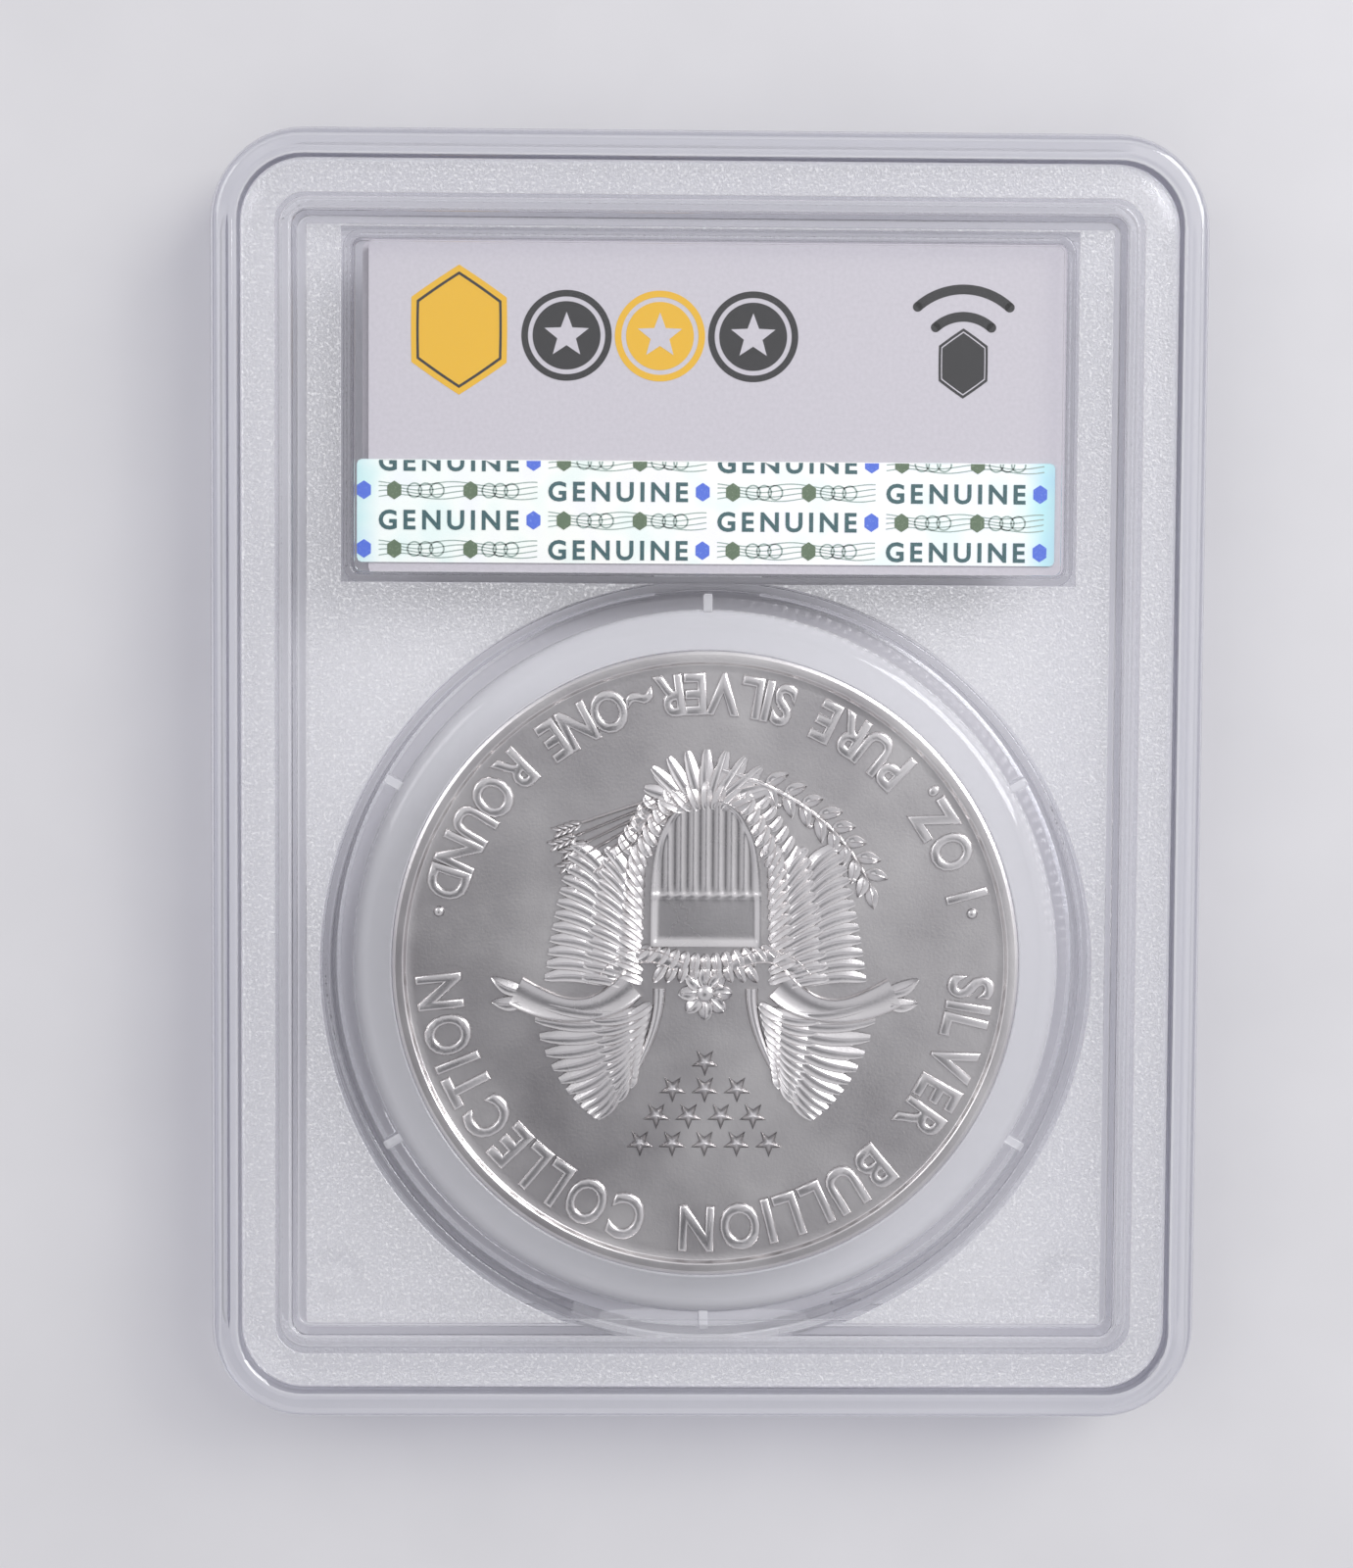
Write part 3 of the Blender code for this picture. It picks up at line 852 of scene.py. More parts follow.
def rounded_leaf(root: Point, tip: Point, width: float, height: float, bend: float = 0.0,
                 lift: float = 0.0, blunt: float = 0.45, sink: float = 0.15) -> Solid:
    """A feather, leaf or grain: a blade along a bowed line, with a raised quill and a high edge.

    Half width is width times sin(pi t^0.85) to a power that says how blunt the tip is, and the
    line bows sideways by bend times sin(pi t). The top slopes up across the blade, so that blades
    set close together overlap like shingles.

    Args:
        root: where the blade starts.
        tip: where it ends.
        width: greatest half width.
        height: height of the high edge.
        bend: sideways bow of the line.
        lift: how much the tip rises, to overlap the next blade.
        blunt: 0.3 for a feather's round tip, 1 for a leaf's point.
        sink: depth below the field.
    """
    share = np.linspace(0.02, 0.985, 11)[:, None]
    place = np.array([1, 1, 0.9, 0.72, 0.12, 0, -0.12, -0.84, -1, -1])[None, :]
    level = np.array([0, 0.6, 0.97, 0.9, 0.74, 0.92, 0.68, 0.5, 0.3, 0])[None, :]
    start, along = np.array(root), np.array(tip) - np.array(root)
    side = np.array([-along[1], along[0]]) / np.linalg.norm(along)
    half = width * np.sin(math.pi * share ** 0.85) ** blunt
    across = half * place + bend * np.sin(math.pi * share)
    x = start[0] + along[0] * share + side[0] * across
    y = start[1] + along[1] * share + side[1] * across
    swell = np.sin(math.pi * np.clip(share, 0.12, 0.9)) ** 0.4
    z = np.where(level > 0, height * level * swell + lift * share, -sink)
    return lofted(np.stack(np.broadcast_arrays(x, y, z), axis=-1))


def rounded_cord(path: np.ndarray, radius: np.ndarray, height: float) -> Solid:
    """A stem or raised line: round sections of varying radius along flat path points."""
    angle = np.linspace(0, 2 * math.pi, 8, endpoint=False)[None, :]
    along = np.gradient(path, axis=0)
    along /= np.linalg.norm(along, axis=1, keepdims=True)
    side = np.stack([-along[:, 1], along[:, 0]], axis=-1)
    wide = np.asarray(radius)[:, None] * np.cos(angle)
    x = path[:, 0, None] + side[:, 0, None] * wide
    y = path[:, 1, None] + side[:, 1, None] * wide
    z = height * np.sin(angle) * np.ones_like(wide)
    return lofted(np.stack([x, y, z], axis=-1))


def bowed(start: Point, control: Point, finish: Point, count: int = 14) -> np.ndarray:
    """Points of a curve that leaves one point towards a control point and ends at another."""
    share = np.linspace(0, 1, count)[:, None]
    return ((1 - share) ** 2 * np.array(start) + 2 * share * (1 - share) * np.array(control)
            + share ** 2 * np.array(finish))


def banner(path: np.ndarray, width: np.ndarray, height: float, thick: float = 0.12) -> Solid:
    """A ribbon lying on the field: a flat section with raised hems, carried along a path."""
    across = np.array([-1, -0.9, -0.72, 0.0, 0.72, 0.9, 1, 1, -1])[None, :]
    rise = np.array([0.6, 1.0, 0.55, 0.7, 0.55, 1.0, 0.6, -1.0, -1.0])[None, :]
    along = np.gradient(path, axis=0)
    along /= np.linalg.norm(along, axis=1, keepdims=True)
    side = np.stack([-along[:, 1], along[:, 0]], axis=-1)
    wide = np.asarray(width)[:, None] * across
    x = path[:, 0, None] + side[:, 0, None] * wide
    y = path[:, 1, None] + side[:, 1, None] * wide
    z = np.where(rise > 0, height * rise, -thick) * np.ones_like(wide)
    return lofted(np.stack([x, y, z], axis=-1))


def star(centre: Pair, radius: float, height: float, sink: float = 0.1) -> Solid:
    """A five-pointed star with a ridge to each point: ten rim points under one peak."""
    x, y = star_outline(centre, radius).T
    rim = np.stack([x, y, np.full(10, 0.05)], axis=-1)
    base = np.stack([x, y, np.full(10, -sink)], axis=-1)
    peak = np.array([[centre[0], centre[1], height]])
    faces = [[n, (n + 1) % 10, 20] for n in range(10)]
    faces += [[n, (n + 1) % 10, (n + 1) % 10 + 10, n + 10] for n in range(10)]
    faces.append(list(range(10, 20)))
    return Solid(np.concatenate([rim, base, peak]), faces)


def dome(centre: Point, radius: float, height: float, sink: float = 0.1) -> Solid:
    """A round bead: rings that shrink as a circle does towards the top."""
    turn = np.linspace(0, 0.47 * math.pi, 6)
    section = np.concatenate([[(0, -sink)], np.stack([radius * (1 - np.cos(turn)),
                                                      height * np.sin(turn)], axis=-1)])
    return lofted(swept(section, RoundOutline(radius, centre, 20)))


@dataclass
class LetterCutter:
    """Raised letters as closed bodies, each made once and used again."""

    narrow: float = 0.82
    made: dict[tuple[str, float], tuple[Solid, float]] = field(default_factory=dict)

    def letter(self, character: str, height: float, depth: float, bevel: float, weight: float
               ) -> tuple[Solid, float]:
        """One character with its left foot at the origin, and its width.

        Args:
            character: the character.
            height: cap height in millimetres.
            depth: how far it stands out.
            bevel: width of its rounded edge.
            weight: extra stroke width on each side, as a share of the letter's size.
        """
        key = (character, height)
        if key not in self.made:
            curve = bpy.data.curves.new("letter", "FONT")
            curve.body = character
            curve.size = 1.0
            curve.resolution_u = 4
            curve.offset = weight
            curve.extrude = max(depth - bevel, 0) / height * 0.7
            curve.bevel_depth = bevel / height * 0.7
            curve.bevel_resolution = 2
            text = bpy.data.objects.new("letter", curve)
            bpy.context.scene.collection.objects.link(text)
            bpy.context.view_layer.update()
            graph = bpy.context.evaluated_depsgraph_get()
            mesh = bpy.data.meshes.new_from_object(text.evaluated_get(graph))
            corners = np.empty(len(mesh.vertices) * 3)
            mesh.vertices.foreach_get("co", corners)
            corners = corners.reshape(-1, 3) * np.array([self.narrow, 1, 1]) * height / 0.7
            faces = [list(face.vertices) for face in mesh.polygons]
            bpy.data.objects.remove(text)
            corners[:, 0] -= corners[:, 0].min()
            self.made[key] = Solid(corners, faces), float(corners[:, 0].max())
        return self.made[key]

    def around(self, words: str, radius: float, height: float, middle: float, span: float,
               outward: bool, depth: float = 0.24) -> list[Solid]:
        """Words bent round a circle, spread to fill a span.

        Args:
            words: what to set.
            radius: the circle that the letters' feet stand on.
            height: cap height.
            middle: angle of the words' middle, in degrees.
            span: angle that the words fill, in degrees.
            outward: True if the letters' heads point away from the centre.
            depth: how far the letters stand out.
        """
        cuts = [None if mark == " " else self.letter(mark, height, depth, 0.19, 0.0)
                for mark in words]
        widths = np.array([height * 0.62 if cut is None else cut[1] for cut in cuts])
        gap = (math.radians(span) * radius - widths.sum()) / (len(words) - 1)
        starts = np.concatenate([[0], np.cumsum(widths + gap)[:-1]])
        centres = (starts + widths / 2) / radius - math.radians(span) / 2
        letters = []
        for cut, width, offset in zip(cuts, widths, centres):
            if cut is None:
                continue
            angle = math.radians(middle) - offset if outward else math.radians(middle) + offset
            upright = cut[0].moved(-width / 2, radius if outward else -radius)
            turn = angle - math.pi / 2 if outward else angle + math.pi / 2
            letters.append(upright.turned(turn))
        return letters

    def line(self, words: str, place: Pair, height: float, length: float, depth: float) -> list[Solid]:
        """Words on a straight line from a left foot, spread to fill a length."""
        cuts = [self.letter(mark, height, depth, 0.0, 0.026) for mark in words]
        widths = np.array([cut[1] for cut in cuts])
        gap = (length - widths.sum()) / (len(words) - 1)
        starts = np.concatenate([[0], np.cumsum(widths + gap)[:-1]])
        return [cut[0].moved(place[0] + start, place[1]) for cut, start in zip(cuts, starts)]


@dataclass
class StruckCoin:
    """A large silver round: reeded edge, raised rims, and a winged cartouche under stars."""

    centre: Pair = (0.0, -12.0)
    level: float = MIDDLE
    radius: float = 20.3
    thickness: float = 2.98
    rim_width: float = 0.72
    field_depth: float = 0.37
    reeds: int = 200
    reed_depth: float = 0.1
    letters: LetterCutter = field(default_factory=LetterCutter)

    def field_height(self) -> float:
        """Height of the field above the coin's middle."""
        return self.thickness / 2 - self.field_depth

    def build(self) -> None:
        """The blank with its rims and reeds, then the relief on both faces."""
        blank = self.blank().moved(*self.centre, self.level)
        piece = mesh_from("silver_coin", blank, sharp_angle=50)
        fitted(piece, Body.COIN, FIELD_SILVER, ("coin",))
        self.strike("coin_rear_relief", Side.REAR, self.rear_design())
        self.strike("coin_front_relief", Side.FRONT, self.front_design())

    def blank(self) -> Solid:
        """A section turned about the axis; its edge waves in and out once for each reed."""
        half, basin = self.thickness / 2, self.field_height()
        upper = filleted([(self.radius - 0.4, basin, 0), (6.0, basin - 0.02, 0),
                          (self.rim_width + 0.7, basin, 0), (self.rim_width + 0.14, basin + 0.02, 0.1),
                          (self.rim_width, half - 0.05, 0.04), (self.rim_width - 0.08, half, 0.04),
                          (0.2, half, 0.06), (0.0, half - 0.1, 0.06)], False, 3)
        wall = np.array([(0.0, half - 0.16), (0.0, 0.16 - half)])
        lower = upper[::-1] * np.array([1, -1])
        section = np.concatenate([upper, wall, lower])
        rings = swept(section, RoundOutline(self.radius, steps=self.reeds * 5))
        angle = np.linspace(0, 2 * math.pi, self.reeds * 5, endpoint=False)
        groove = self.reed_depth * (0.5 - 0.5 * np.cos(self.reeds * angle)) ** 1.5
        on_wall = (section[:, 0] == 0) & (np.abs(section[:, 1]) < half - 0.12)
        shrink = 1 - (groove[None, :] * on_wall[:, None]) / self.radius
        rings[..., :2] *= shrink[..., None]
        return lofted(rings)

    def strike(self, name: str, side: Side, design: list[Solid]) -> None:
        """Place a design, drawn upright in millimetres, on one face of the coin."""
        signs = np.array(side.value)
        drawn = merged(design)
        level = self.level + signs[2] * (self.field_height() - 0.01)
        placed = Solid(drawn.corners * signs, drawn.faces).moved(*self.centre, level)
        fitted(mesh_from(name, placed, sharp_angle=60), Body.COIN, RELIEF_SILVER)

    def rear_design(self) -> list[Solid]:
        """Winged cartouche over a branch and a sheaf, under a pyramid of stars, in a legend."""
        parts = self.wing() + self.cartouche() + self.fan() + self.shoulders() + self.rosette()
        mirror = [part.scaled(-1, 1, 1) for part in self.wing() + self.thigh() + self.scroll()]
        parts += self.thigh() + self.scroll() + mirror + self.branch() + self.sheaf() + self.stars()
        parts += self.letters.around("SILVER BULLION COLLECTION", 16.0, 2.75, 90, 176, True)
        parts += self.letters.around("1 OZ. PURE SILVER~ONE ROUND", 18.75, 2.5, 270, 152, False)
        parts += [dome((x, -3.35), 0.36, 0.22) for x in (-17.3, 17.3)]
        return parts

    def front_design(self) -> list[Solid]:
        """A sun with straight rays inside a wreath of leaves, and a ring of beads."""
        parts = [dome((0, 0), 3.0, 0.3)]
        for number in range(32):
            angle = 2 * math.pi * number / 32
            reach = 9.5 if number % 2 == 0 else 7.2
            parts.append(rounded_leaf(towards(angle, 3.4), towards(angle, reach), 0.34, 0.3, blunt=0.8))
        for number in range(44):
            angle = 2 * math.pi * number / 44
            for turn, reach in ((0.14, 14.2), (0.17, 11.4)):
                parts.append(rounded_leaf(towards(angle, 12.8), towards(angle + turn, reach),
                                          0.42, 0.28, 0.1, blunt=0.8))
        for number in range(96):
            parts.append(dome(towards(2 * math.pi * number / 96, 18.3), 0.32, 0.2))
        return parts

    def row(self, start: Pair, finish: Pair, count: int, headings: Pair, lengths: Pair, width: float,
            height: float = 0.3, bend: float = 0.12, lift: float = 0.1, blunt: float = 0.28
            ) -> list[Solid]:
        """Overlapping blades whose roots stand on a line, turning and changing length evenly.

        Args:
            start: first root.
            finish: last root.
            count: number of blades.
            headings: directions of the first and last blade, in degrees.
            lengths: lengths of the first and last blade.
            width: half width.
            height: height of the midrib.
            bend: sideways bow.
            lift: rise of the tips.
            blunt: 0.3 for round tips, 1 for points.
        """
        blades = []
        for share in np.linspace(0, 1, count):
            root = (1 - share) * np.array(start) + share * np.array(finish)
            heading = math.radians((1 - share) * headings[0] + share * headings[1])
            length = (1 - share) * lengths[0] + share * lengths[1]
            blades.append(rounded_leaf(root, root + towards(heading, length), width, height, bend,
                                       lift, blunt))
        return blades

    def wing(self) -> list[Solid]:
        """The right wing: long quills from the wrist, then shorter covers over their roots."""
        parts = self.row((4.6, 3.0), (5.9, 7.4), 11, (-6, 66), (6.8, 3.0), 0.56, 0.26, 0.4, 0.08)
        parts += self.row((4.0, 3.0), (5.3, 7.2), 11, (10, 74), (3.6, 1.9), 0.48, 0.31, 0.2)
        parts += self.row((3.5, 2.6), (4.8, 7.0), 10, (30, 84), (1.9, 1.1), 0.4, 0.34, 0.08)
        parts += self.row((6.4, 1.2), (6.3, -5.6), 12, (-4, -42), (4.1, 3.3), 0.5, 0.25, -0.35, 0.08)
        parts += self.row((5.1, 1.4), (5.0, -5.6), 12, (-10, -52), (3.0, 2.5), 0.44, 0.3, -0.2, 0.1)
        parts += self.row((4.1, 1.2), (4.1, -6.2), 12, (-18, -62), (1.9, 1.6), 0.34, 0.32, -0.1, 0.1)
        edge = bowed((3.0, 1.6), (2.9, 5.0), (6.0, 9.2), 18)
        parts.append(rounded_cord(edge, np.linspace(0.42, 0.16, 18), 0.33))
        return parts

    def thigh(self) -> list[Solid]:
        """Small scales beside the lower part of the cartouche, on the right."""
        parts = self.row((4.3, -5.6), (1.9, -10.4), 8, (-72, -52), (1.7, 1.3), 0.36, 0.3)
        parts += self.row((5.2, -6.4), (3.2, -10.2), 6, (-60, -40), (1.5, 1.1), 0.32, 0.26)
        return parts

    def shoulders(self) -> list[Solid]:
        """Two bowed rows of scales between the cartouche and the rosette."""
        parts = []
        for number, x in enumerate(np.linspace(-3.6, 3.6, 13)):
            heading = math.radians(90 - x * 14)
            root = np.array([x, -0.95 + 0.25 * math.cos(x * 0.9)])
            parts.append(rounded_leaf(root, root + towards(heading, 1.5), 0.36, 0.32,
                                      lift=0.04 * (number % 2)))
        for x in np.linspace(-2.6, 2.6, 9):
            parts.append(rounded_leaf((x, 0.0), (x * 1.3, 1.2), 0.34, 0.34))
        return parts

    def fan(self) -> list[Solid]:
        """A fan of broad blades under the cartouche's tip."""
        parts = self.row((-1.1, -10.6), (1.1, -10.6), 9, (196, 344), (3.1, 3.1), 0.5, 0.24, 0.0)
        parts += self.row((-0.9, -10.4), (0.9, -10.4), 7, (222, 318), (3.6, 3.6), 0.45, 0.28, 0.0)
        parts += self.row((-1.4, -10.0), (1.4, -10.0), 7, (204, 336), (1.9, 1.9), 0.4, 0.34, 0.0)
        return parts

    def rosette(self) -> list[Solid]:
        """A rosette of eight petals over the shoulders."""
        middle = np.array([0, 1.9])
        parts = [dome(middle, 0.62, 0.36)]
        for number in range(8):
            angle = 2 * math.pi * number / 8
            parts.append(rounded_leaf(middle + towards(angle, 0.45), middle + towards(angle, 1.75),
                                      0.5, 0.3))
        return parts

    def cartouche(self) -> list[Solid]:
        """A pointed oval panel: half width 3.6 (1 - t^4)^0.5 down its height, fluted below a band."""
        top, tip, half = -1.15, -10.8, 3.6
        share = np.linspace(0, 0.985, 56)[:, None]
        across = np.linspace(-1, 1, 73)[None, :]
        wide = half * (1 - share ** 4) ** 0.5
        x = wide * across
        y = top + (tip - top) * share + 0.0 * across
        flute = 0.05 * np.cos(2 * math.pi * x / 0.82) - 0.02
        fluted = 1 / (1 + np.exp(-(share - 0.36) * 60))
        border = 1 / (1 + np.exp(-(np.abs(x) - (wide - 0.28)) * 18))
        border = np.maximum(border, 1 / (1 + np.exp((share - 0.03) * 160)))
        line = np.exp(-((share - 0.34) / 0.012) ** 2)
        z = 0.16 + flute * fluted * (1 - border) + 0.15 * border + 0.07 * line
        upper = np.stack([x, y, z], axis=-1)
        under = upper[:, [-1, 0]]
        under[..., 2] = -0.1
        return [lofted(np.concatenate([upper, under], axis=1))]

    def scroll(self) -> list[Solid]:
        """The right half of an empty ribbon: a fold by the shoulder, a long run and a split tail."""
        fold = bowed((1.7, 0.2), (4.6, -1.6), (6.4, 1.0))
        run = bowed((4.8, 1.4), (7.8, 4.4), (12.3, 1.8))
        parts = [banner(fold, np.linspace(0.35, 0.62, 14), 0.34),
                 banner(run, 0.9 + 0.12 * np.cos(np.linspace(0, 2 * math.pi, 14)), 0.36)]
        for rise in (-0.5, 0.5):
            parts.append(rounded_leaf((11.6, 2.1 + 0.5 * rise), (13.9, 1.7 + 1.6 * rise), 0.5, 0.3,
                                      0.2, blunt=0.7))
        return parts

    def branch(self) -> list[Solid]:
        """A leafy branch to the left of the fan: a bowed stem, paired leaves and a few berries."""
        stem = bowed((-1.0, -12.6), (-8.2, -10.6), (-10.6, -5.2), 30)
        parts = [rounded_cord(stem, np.linspace(0.22, 0.12, 30), 0.3)]
        for number, place in enumerate(range(6, 30, 3)):
            root = stem[place]
            along = stem[place] - stem[place - 1]
            heading = math.atan2(along[1], along[0])
            for turn in (-0.75, 0.85):
                tip = root + towards(heading + turn, 1.75 - 0.12 * (number % 3))
                parts.append(rounded_leaf(root, tip, 0.42, 0.32, 0.1, blunt=0.8))
            if number % 2:
                parts.append(dome(root + towards(heading - 1.5, 0.75), 0.2, 0.28))
        parts.append(rounded_leaf(stem[-1], stem[-1] + np.array([-0.3, 1.6]), 0.42, 0.32, blunt=0.8))
        return parts

    def sheaf(self) -> list[Solid]:
        """A tied sheaf of grain to the right of the fan: straight stalks that end in ears."""
        parts = [banner(bowed((3.9, -10.0), (4.4, -9.4), (4.7, -8.6), 6), np.full(6, 0.5), 0.38)]
        for number, turn in enumerate(np.linspace(-0.16, 0.16, 6)):
            direction = towards(0.49 + turn)
            root = np.array([0.9, -11.2]) + np.array([0.0, 0.16 * (number - 2.5)])
            neck = root + (7.6 + 0.5 * (number % 2)) * direction
            stalk = np.linspace(root, neck, 6)
            parts.append(rounded_cord(stalk, np.full(6, 0.11), 0.3))
            side = np.array([-direction[1], direction[0]])
            for step in range(4):
                for way in (-1, 1):
                    foot = neck + 0.42 * step * direction
                    tip = foot + 0.75 * direction + 0.34 * way * side
                    parts.append(rounded_leaf(foot, tip, 0.15, 0.26, blunt=0.7))
        return parts

    def stars(self) -> list[Solid]:
        """Rows of stars above the rosette, each row a little wider."""
        parts = []
        for count, height in ((1, 6.4), (3, 8.15), (4, 9.9), (5, 11.7)):
            for number in range(count):
                across = (number - (count - 1) / 2) * 2.1
                parts.append(star((across, height), 0.92, 0.26))
        return parts


# ---- The label ----

def badge_outline(centre: Pair, half_width: float, half_height: float) -> np.ndarray:
    """A six-sided badge with soft corners: a superellipse of the third power, pinched above."""
    angle = np.linspace(0, 2 * math.pi, 72, endpoint=False)
    reach = 1 / np.maximum(np.abs(np.cos(angle)), np.abs(np.cos(angle)) * 0.5
                           + np.abs(np.sin(angle)) * math.sqrt(3) / 2)
    soft = reach / reach.max() * 0.94 + 0.06
    return np.stack([centre[0] + half_width * 1.12 * soft * np.cos(angle),
                     centre[1] + half_height * soft * np.sin(angle)], axis=-1)


def star_outline(centre: Pair, radius: float, waist: float = 0.42) -> np.ndarray:
    """The ten corners of a five-pointed star, counted from its top point."""
    number = np.arange(10)
    angle = math.pi / 2 + number * math.pi / 5
    reach = np.where(number % 2 == 0, radius, radius * waist)
    return np.stack([centre[0] + reach * np.cos(angle), centre[1] + reach * np.sin(angle)], axis=-1)


def flat_ring(centre: Pair, outer: float, inner: float, low: float, high: float,
              sweep: Pair = (0.0, 360.0)) -> Solid:
    """A flat ring, or part of one, between two radii."""
    whole = sweep[1] - sweep[0] >= 360
    angle = np.radians(np.linspace(*sweep, 97))[:, None]
    if whole:
        angle = angle[:-1]
    radius = np.array([outer, outer, inner, inner])[None, :]
    height = np.array([low, high, high, low])[None, :] + 0 * angle
    x, y = centre[0] + radius * np.cos(angle), centre[1] + radius * np.sin(angle)
    rings = np.stack([x, y, height], axis=-1)
    return closed_loop(rings) if whole else lofted(rings)


@dataclass
class PrintedLabel:
    """Everything in the label pocket: card, print, security strip and the tag behind them."""

    ink: float = 0.012
    ink_gap: float = 0.004
    badge_centre: Pair = (-16.1, 28.8)
    mark_centre: Pair = (-3.2, 28.5)
    mark_radius: float = 2.9
    mark_pitch: float = 6.0
    wireless_centre: Pair = (16.35, 27.0)
    strip_rows: tuple[float, ...] = (0.1, 1.98, 3.86, 5.74)
    block_pitch: float = 10.9
    block_start: float = 1.4
    badge_offset: float = 9.95
    small_badge: Pair = (0.46, 0.6)
    letters: LetterCutter = field(default_factory=lambda: LetterCutter(narrow=1.0))

    def top_of(self, node: str) -> float:
        """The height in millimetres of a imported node's upper face."""
        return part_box(node)[1][2] / MM

    def build(self) -> None:
        """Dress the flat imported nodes, then lay the print on the card and on the strip."""
        for node, finish in (("rear_label_card", CARD), ("front_label_card", CARD),
                             ("hologram_strip", FOIL), ("tag_film", TAG_FILM),
                             ("tag_antenna", COIL_COPPER),
                             ("tag_chip", CHIP_RESIN)):
            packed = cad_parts[node]
            packed.data.materials.clear()
            packed.data.materials.append(finish.material())
        self.print_card()
        self.print_front()
        self.print_strip()

    def lay(self, name: str, parts: list[Solid], finish: Finish) -> None:
        """Make one colour's print a piece of its own."""
        fitted(mesh_from(name, merged(parts)), Body.SLAB, finish)

    def print_card(self) -> None:
        """A yellow badge, three plain coin signs with a star in each, and a wireless sign."""
        low = self.top_of("rear_label_card") + self.ink_gap
        high = low + self.ink
        second = (high + 0.001, high + 0.001 + self.ink)
        x, y = self.badge_centre
        yellow = [polygon(badge_outline(self.badge_centre, 3.15, 4.15), low, high)]
        outer, inner = badge_outline((x, y), 2.8, 3.72), badge_outline((x, y), 2.64, 3.52)
        black = [self.line_between(outer, inner, *second)]

        pale = []
        mark_x, mark_y = self.mark_centre
        for number, sign in enumerate((black, yellow, black)):
            middle = (mark_x + (number - 1) * self.mark_pitch, mark_y)
            sign.append(flat_ring(middle, self.mark_radius, self.mark_radius - 0.42, low, high))
            sign.append(flat_ring(middle, self.mark_radius - 0.72, 0.02, low, high))
            pale.append(polygon(star_outline(middle, 1.5), *second))

        wire_x, wire_y = self.wireless_centre
        black.append(polygon(badge_outline((wire_x, wire_y - 0.1), 1.62, 2.25), low, high))
        for reach in (4.75, 3.0):
            black.append(flat_ring((wire_x, wire_y + 0.2), reach, reach - 0.62, low, high,
                                   (48.0, 132.0)))
            for angle in (48.0, 132.0):
                end = np.array([wire_x, wire_y + 0.2]) + towards(math.radians(angle), reach - 0.31)
                black.append(plate(RoundOutline(0.31, tuple(end), 24), low, high))
        self.lay("label_print_black", black, BLACK_INK)
        self.lay("label_print_yellow", yellow, YELLOW_INK)
        pale.append(self.line_between(badge_outline((wire_x, wire_y - 0.1), 1.46, 2.05),
                                 badge_outline((wire_x, wire_y - 0.1), 1.4, 1.96), *second))
        self.lay("label_print_pale", pale, CARD)

    def print_front(self) -> None:
        """Three generic words and a bar code on the front card, which are read from below."""
        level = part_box("front_label_card")[0][2] / MM - self.ink_gap - self.ink
        parts = []
        for word, place, length in (("SILVER", (-19.5, 28.0), 11.5), ("ROUND", (-6.0, 28.0), 10.0),
                                    ("GENUINE", (-19.5, 23.4), 13.5)):
            parts += self.letters.line(word, place, 2.3, length, self.ink)
        for number in range(26):
            half = 0.09 + 0.07 * (number * 7 % 3)
            bar = RoundedOutline(half, 1.6, 0.02, (-19.2 + 0.7 * number, 18.2), 2, 0.01)
            parts.append(plate(bar, -self.ink, self.ink))
        self.lay("front_label_print", [part.scaled(-1, 1, 1).moved(z=level) for part in parts],
                 BLACK_INK)

    def line_between(self, outer: np.ndarray, inner: np.ndarray, low: float, high: float) -> Solid:
        """A drawn line as the flat band between two outlines with as many points."""
        rings = []
        for points, height in ((outer, low), (outer, high), (inner, high), (inner, low)):
            rings.append(np.concatenate([points, np.full((len(points), 1), height)], axis=1))
        return closed_loop(np.stack(rings))

    def print_strip(self) -> None:
        """Rows that alternate a generic word and badges with wavy guilloche blocks."""
        lowest, highest = (np.array(corner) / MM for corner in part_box("hologram_strip"))
        low = highest[2] + self.ink_gap
        high = low + self.ink
        teal, blue, olive, grey = [], [], [], []
        for number, drop in enumerate(self.strip_rows):
            row = highest[1] - drop
            for block in range(-1, 5):
                left = lowest[0] + self.block_start + block * self.block_pitch
                shown = 0 <= block < 4
                if (block + number) % 2 == 0:
                    if shown:
                        words = self.letters.line("GENUINE", (left, row - 0.6), 1.2, 9.0, self.ink)
                        teal += [word.moved(z=low + self.ink) for word in words]
                    middle = left + self.badge_offset
                    if lowest[0] + 0.35 < middle < highest[0] - 0.5:
                        blue.append(polygon(badge_outline((middle, row), *self.small_badge), low, high))
                elif shown:
                    grey += self.guilloche(left, row, low, high)
                    for offset in (1.0, 5.9):
                        badge = badge_outline((left + offset, row), *self.small_badge)
                        olive.append(polygon(badge, high + 0.001, high + 0.001 + self.ink))
        edge = highest[1] - 0.05
        for name, parts, finish in (("strip_print_teal", teal, TEAL_INK),
                                    ("strip_print_blue", blue, BLUE_INK),
                                    ("strip_print_olive", olive, OLIVE_INK),
                                    ("strip_print_grey", grey, GREY_INK)):
            kept = [part for part in parts if part.corners[:, 1].min() < edge - 0.1]
            for part in kept:
                part.corners[:, 1] = np.minimum(part.corners[:, 1], edge)
            self.lay(name, kept, finish)

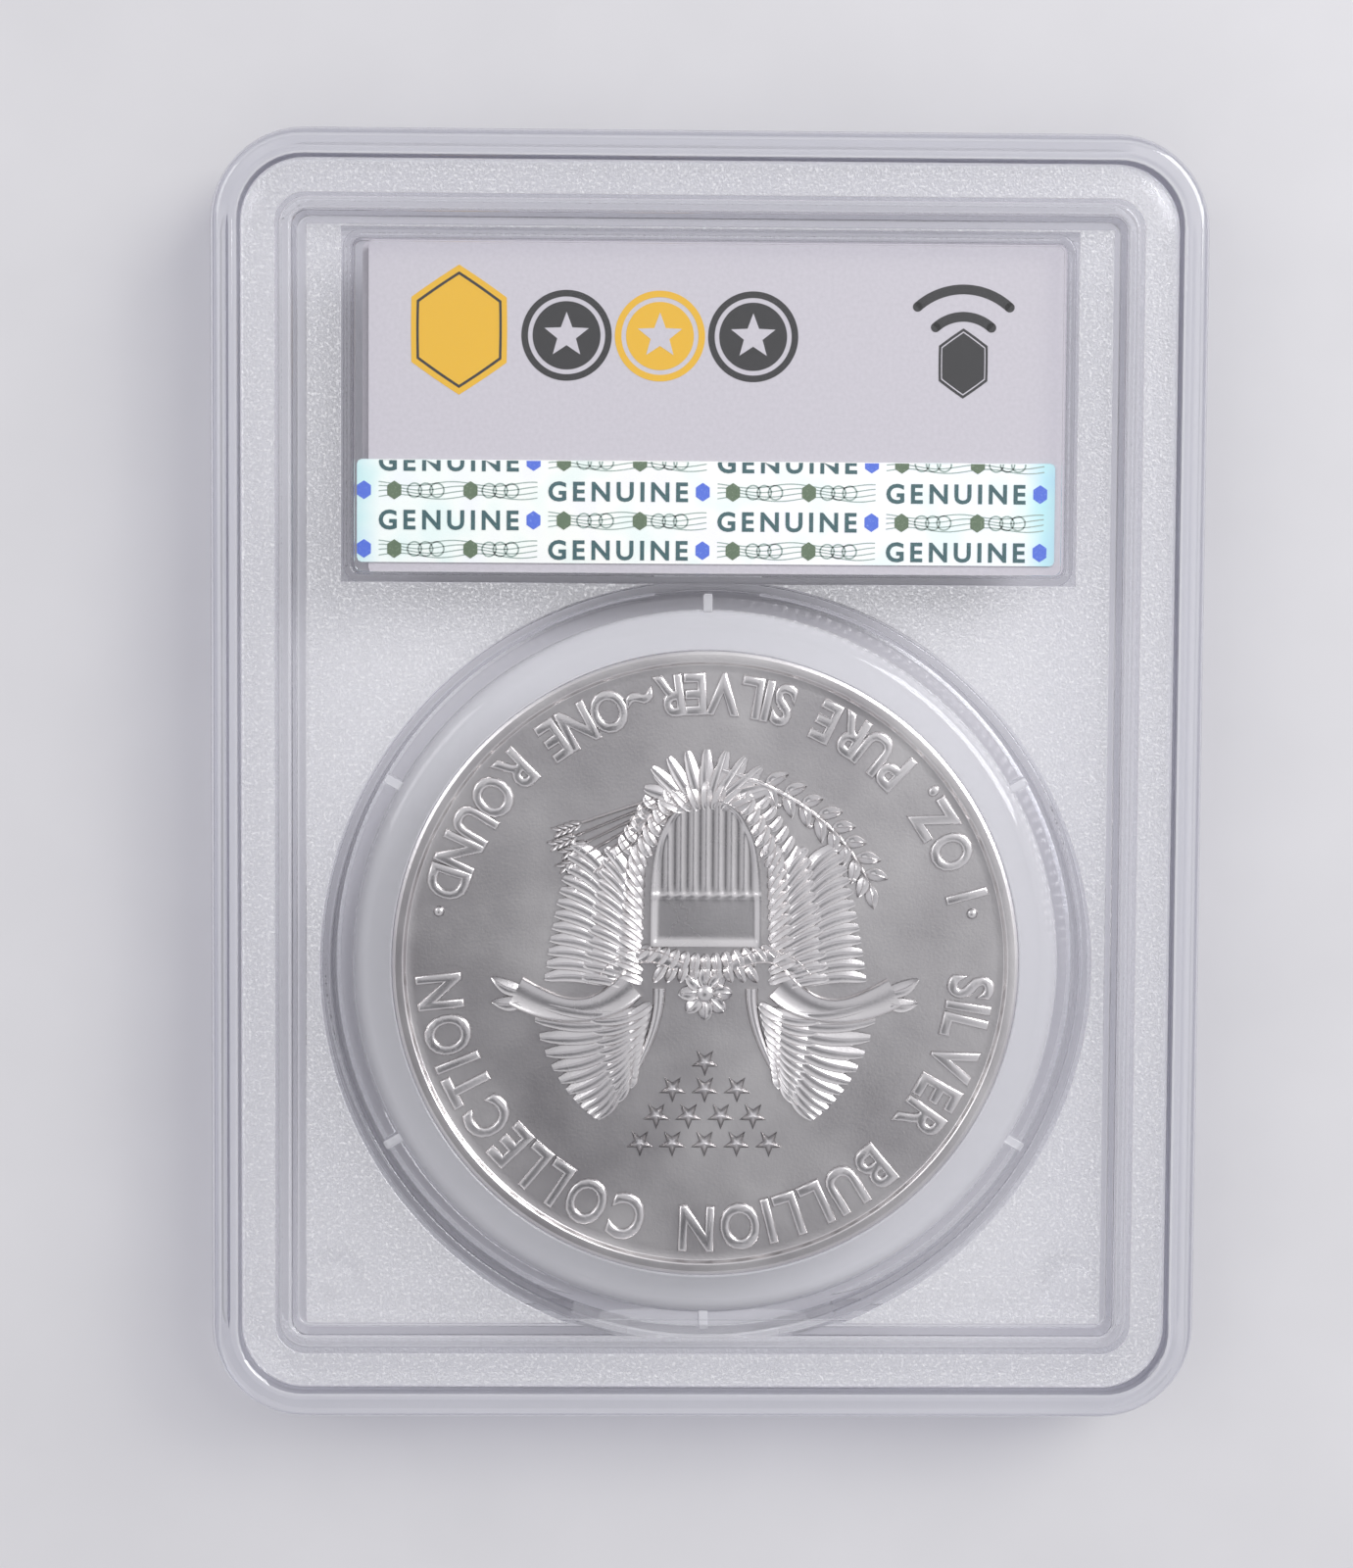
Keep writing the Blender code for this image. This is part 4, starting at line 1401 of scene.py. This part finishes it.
    def guilloche(self, left: float, row: float, low: float, high: float) -> list[Solid]:
        """Four wavy hairlines and two rows of three small rings that fill one block.

        Each line is y = row + offset + 0.14 sin(2 pi x / 5.2 + phase).
        """
        parts = []
        x = np.linspace(left, left + 10.2, 40)
        for number, offset in enumerate((-0.42, -0.14, 0.14, 0.42)):
            y = row + offset + 0.14 * np.sin(2 * math.pi * (x - left) / 5.2 + 0.7 * number)
            outer = np.stack([x, y + 0.035], axis=-1)
            inner = np.stack([x, y - 0.035], axis=-1)
            rings = [np.concatenate([points, np.full((40, 1), height)], axis=1)
                     for points, height in ((outer, low), (outer, high), (inner, high), (inner, low))]
            parts.append(lofted(np.stack(rings, axis=1)))
        for start in (2.3, 7.1):
            for step in range(3):
                parts.append(flat_ring((left + start + 0.72 * step, row), 0.5, 0.4, low, high))
        return parts


# ---- Studio ----

@dataclass
class Studio:
    """Table, sky, soft lamps and the camera, which looks almost straight down."""

    camera_place: Place = (-5.53, 10.01, 195.7)
    camera_turn: Place = (-3.116, -1.057, 0.363)
    lens: float = 67.5
    table_half: float = 600.0
    bounces: int = 32
    dark_towards: Place = (-0.10, -0.24, 0.966)

    def build(self) -> None:
        """Set up everything that isn't part of the object."""
        self.table()
        self.sky()
        self.softbox("key", (0.42, 0.30, 0.40), 0.34, 3.1)
        self.softbox("fill", (-0.45, 0.25, 0.42), 0.25, 0.5)
        self.camera()
        scene = bpy.context.scene
        scene.view_settings.view_transform = "Standard"
        for kind in ("max_bounces", "transmission_bounces", "transparent_max_bounces"):
            setattr(scene.cycles, kind, self.bounces)

    def table(self) -> None:
        """A slightly wavy sheet, as a grid of points under the slab."""
        line = np.linspace(-1, 1, 41)
        place = np.sign(line) * np.abs(line) ** 2 * self.table_half
        x, y = np.meshgrid(place, place, indexing="ij")
        far = np.hypot(x, y) / self.table_half
        z = -0.02 - 0.6 * far ** 2 * (1 + 0.3 * np.sin(x / 90))
        corners = np.stack([x, y, z], axis=-1).reshape(-1, 3)
        sheet = Solid(corners, grid_quads(41, 41, wrap_columns=False))
        floor = mesh_from("table", sheet)
        floor.data.materials.append(TABLE_SHEET.material())
        if floor.data.polygons[0].normal.z < 0:
            floor.data.flip_normals()

    def sky(self) -> None:
        """Even soft light from all round, darker straight above where the camera stands."""
        world = bpy.data.worlds.new("studio")
        bpy.context.scene.world = world
        world.use_nodes = True
        tree = world.node_tree
        tree.nodes.clear()
        direction = add_node(tree, "TexCoord").outputs["Generated"]
        height = add_node(tree, "SeparateXYZ", {0: direction}).outputs["Z"]
        walls = ramp(tree, height, (0.0, "#404044"), (0.12, "#8a8a90"), (0.3, "#dedee2"),
                     (1.0, "#eeeef0"))
        towards = add_node(tree, "VectorMath", {0: direction}, operation="DOT_PRODUCT")
        towards.inputs[1].default_value = self.dark_towards
        ceiling = ramp(tree, towards.outputs["Value"], (0.9, "#ffffff"), (0.957, "#f0f0f2"),
                       (0.985, "#545458"))
        colour = add_node(tree, "Mix", {0: 1.0, 6: walls, 7: ceiling}, data_type="RGBA",
                          blend_type="MULTIPLY").outputs[2]
        light = add_node(tree, "Background", {"Color": colour, "Strength": 0.85})
        output = add_node(tree, "OutputWorld")
        tree.links.new(light.outputs[0], output.inputs["Surface"])

    def softbox(self, name: str, place: Place, size: float, power: float) -> None:
        """A square lamp that faces the slab."""
        lamp = bpy.data.lights.new(name, "AREA")
        lamp.size = size
        lamp.energy = power
        holder = bpy.data.objects.new(name, lamp)
        aside = math.hypot(place[0], place[1])
        holder.location = place
        holder.rotation_euler = (0.0, math.atan2(aside, place[2]), math.atan2(place[1], place[0]))
        bpy.context.scene.collection.objects.link(holder)

    def camera(self) -> None:
        """The camera, whose frame is 36 mm along the picture's long side."""
        lens = bpy.data.cameras.new("camera")
        lens.lens = self.lens
        lens.sensor_width = 36.0
        lens.clip_start = 0.005
        holder = bpy.data.objects.new("camera", lens)
        holder.location = [value * MM for value in self.camera_place]
        holder.rotation_euler = [math.radians(value) for value in self.camera_turn]
        bpy.context.scene.collection.objects.link(holder)
        bpy.context.scene.camera = holder


def main() -> None:
    """Build the slab's looks from the inside out, then the studio."""
    logging.basicConfig(level=logging.INFO, format="%(message)s")
    StruckCoin().build()
    CentringRing().build()
    PrintedLabel().build()
    shells = WeldedShells()
    shells.front()
    shells.rear()
    Studio().build()


if __name__ == "__main__":
    main()
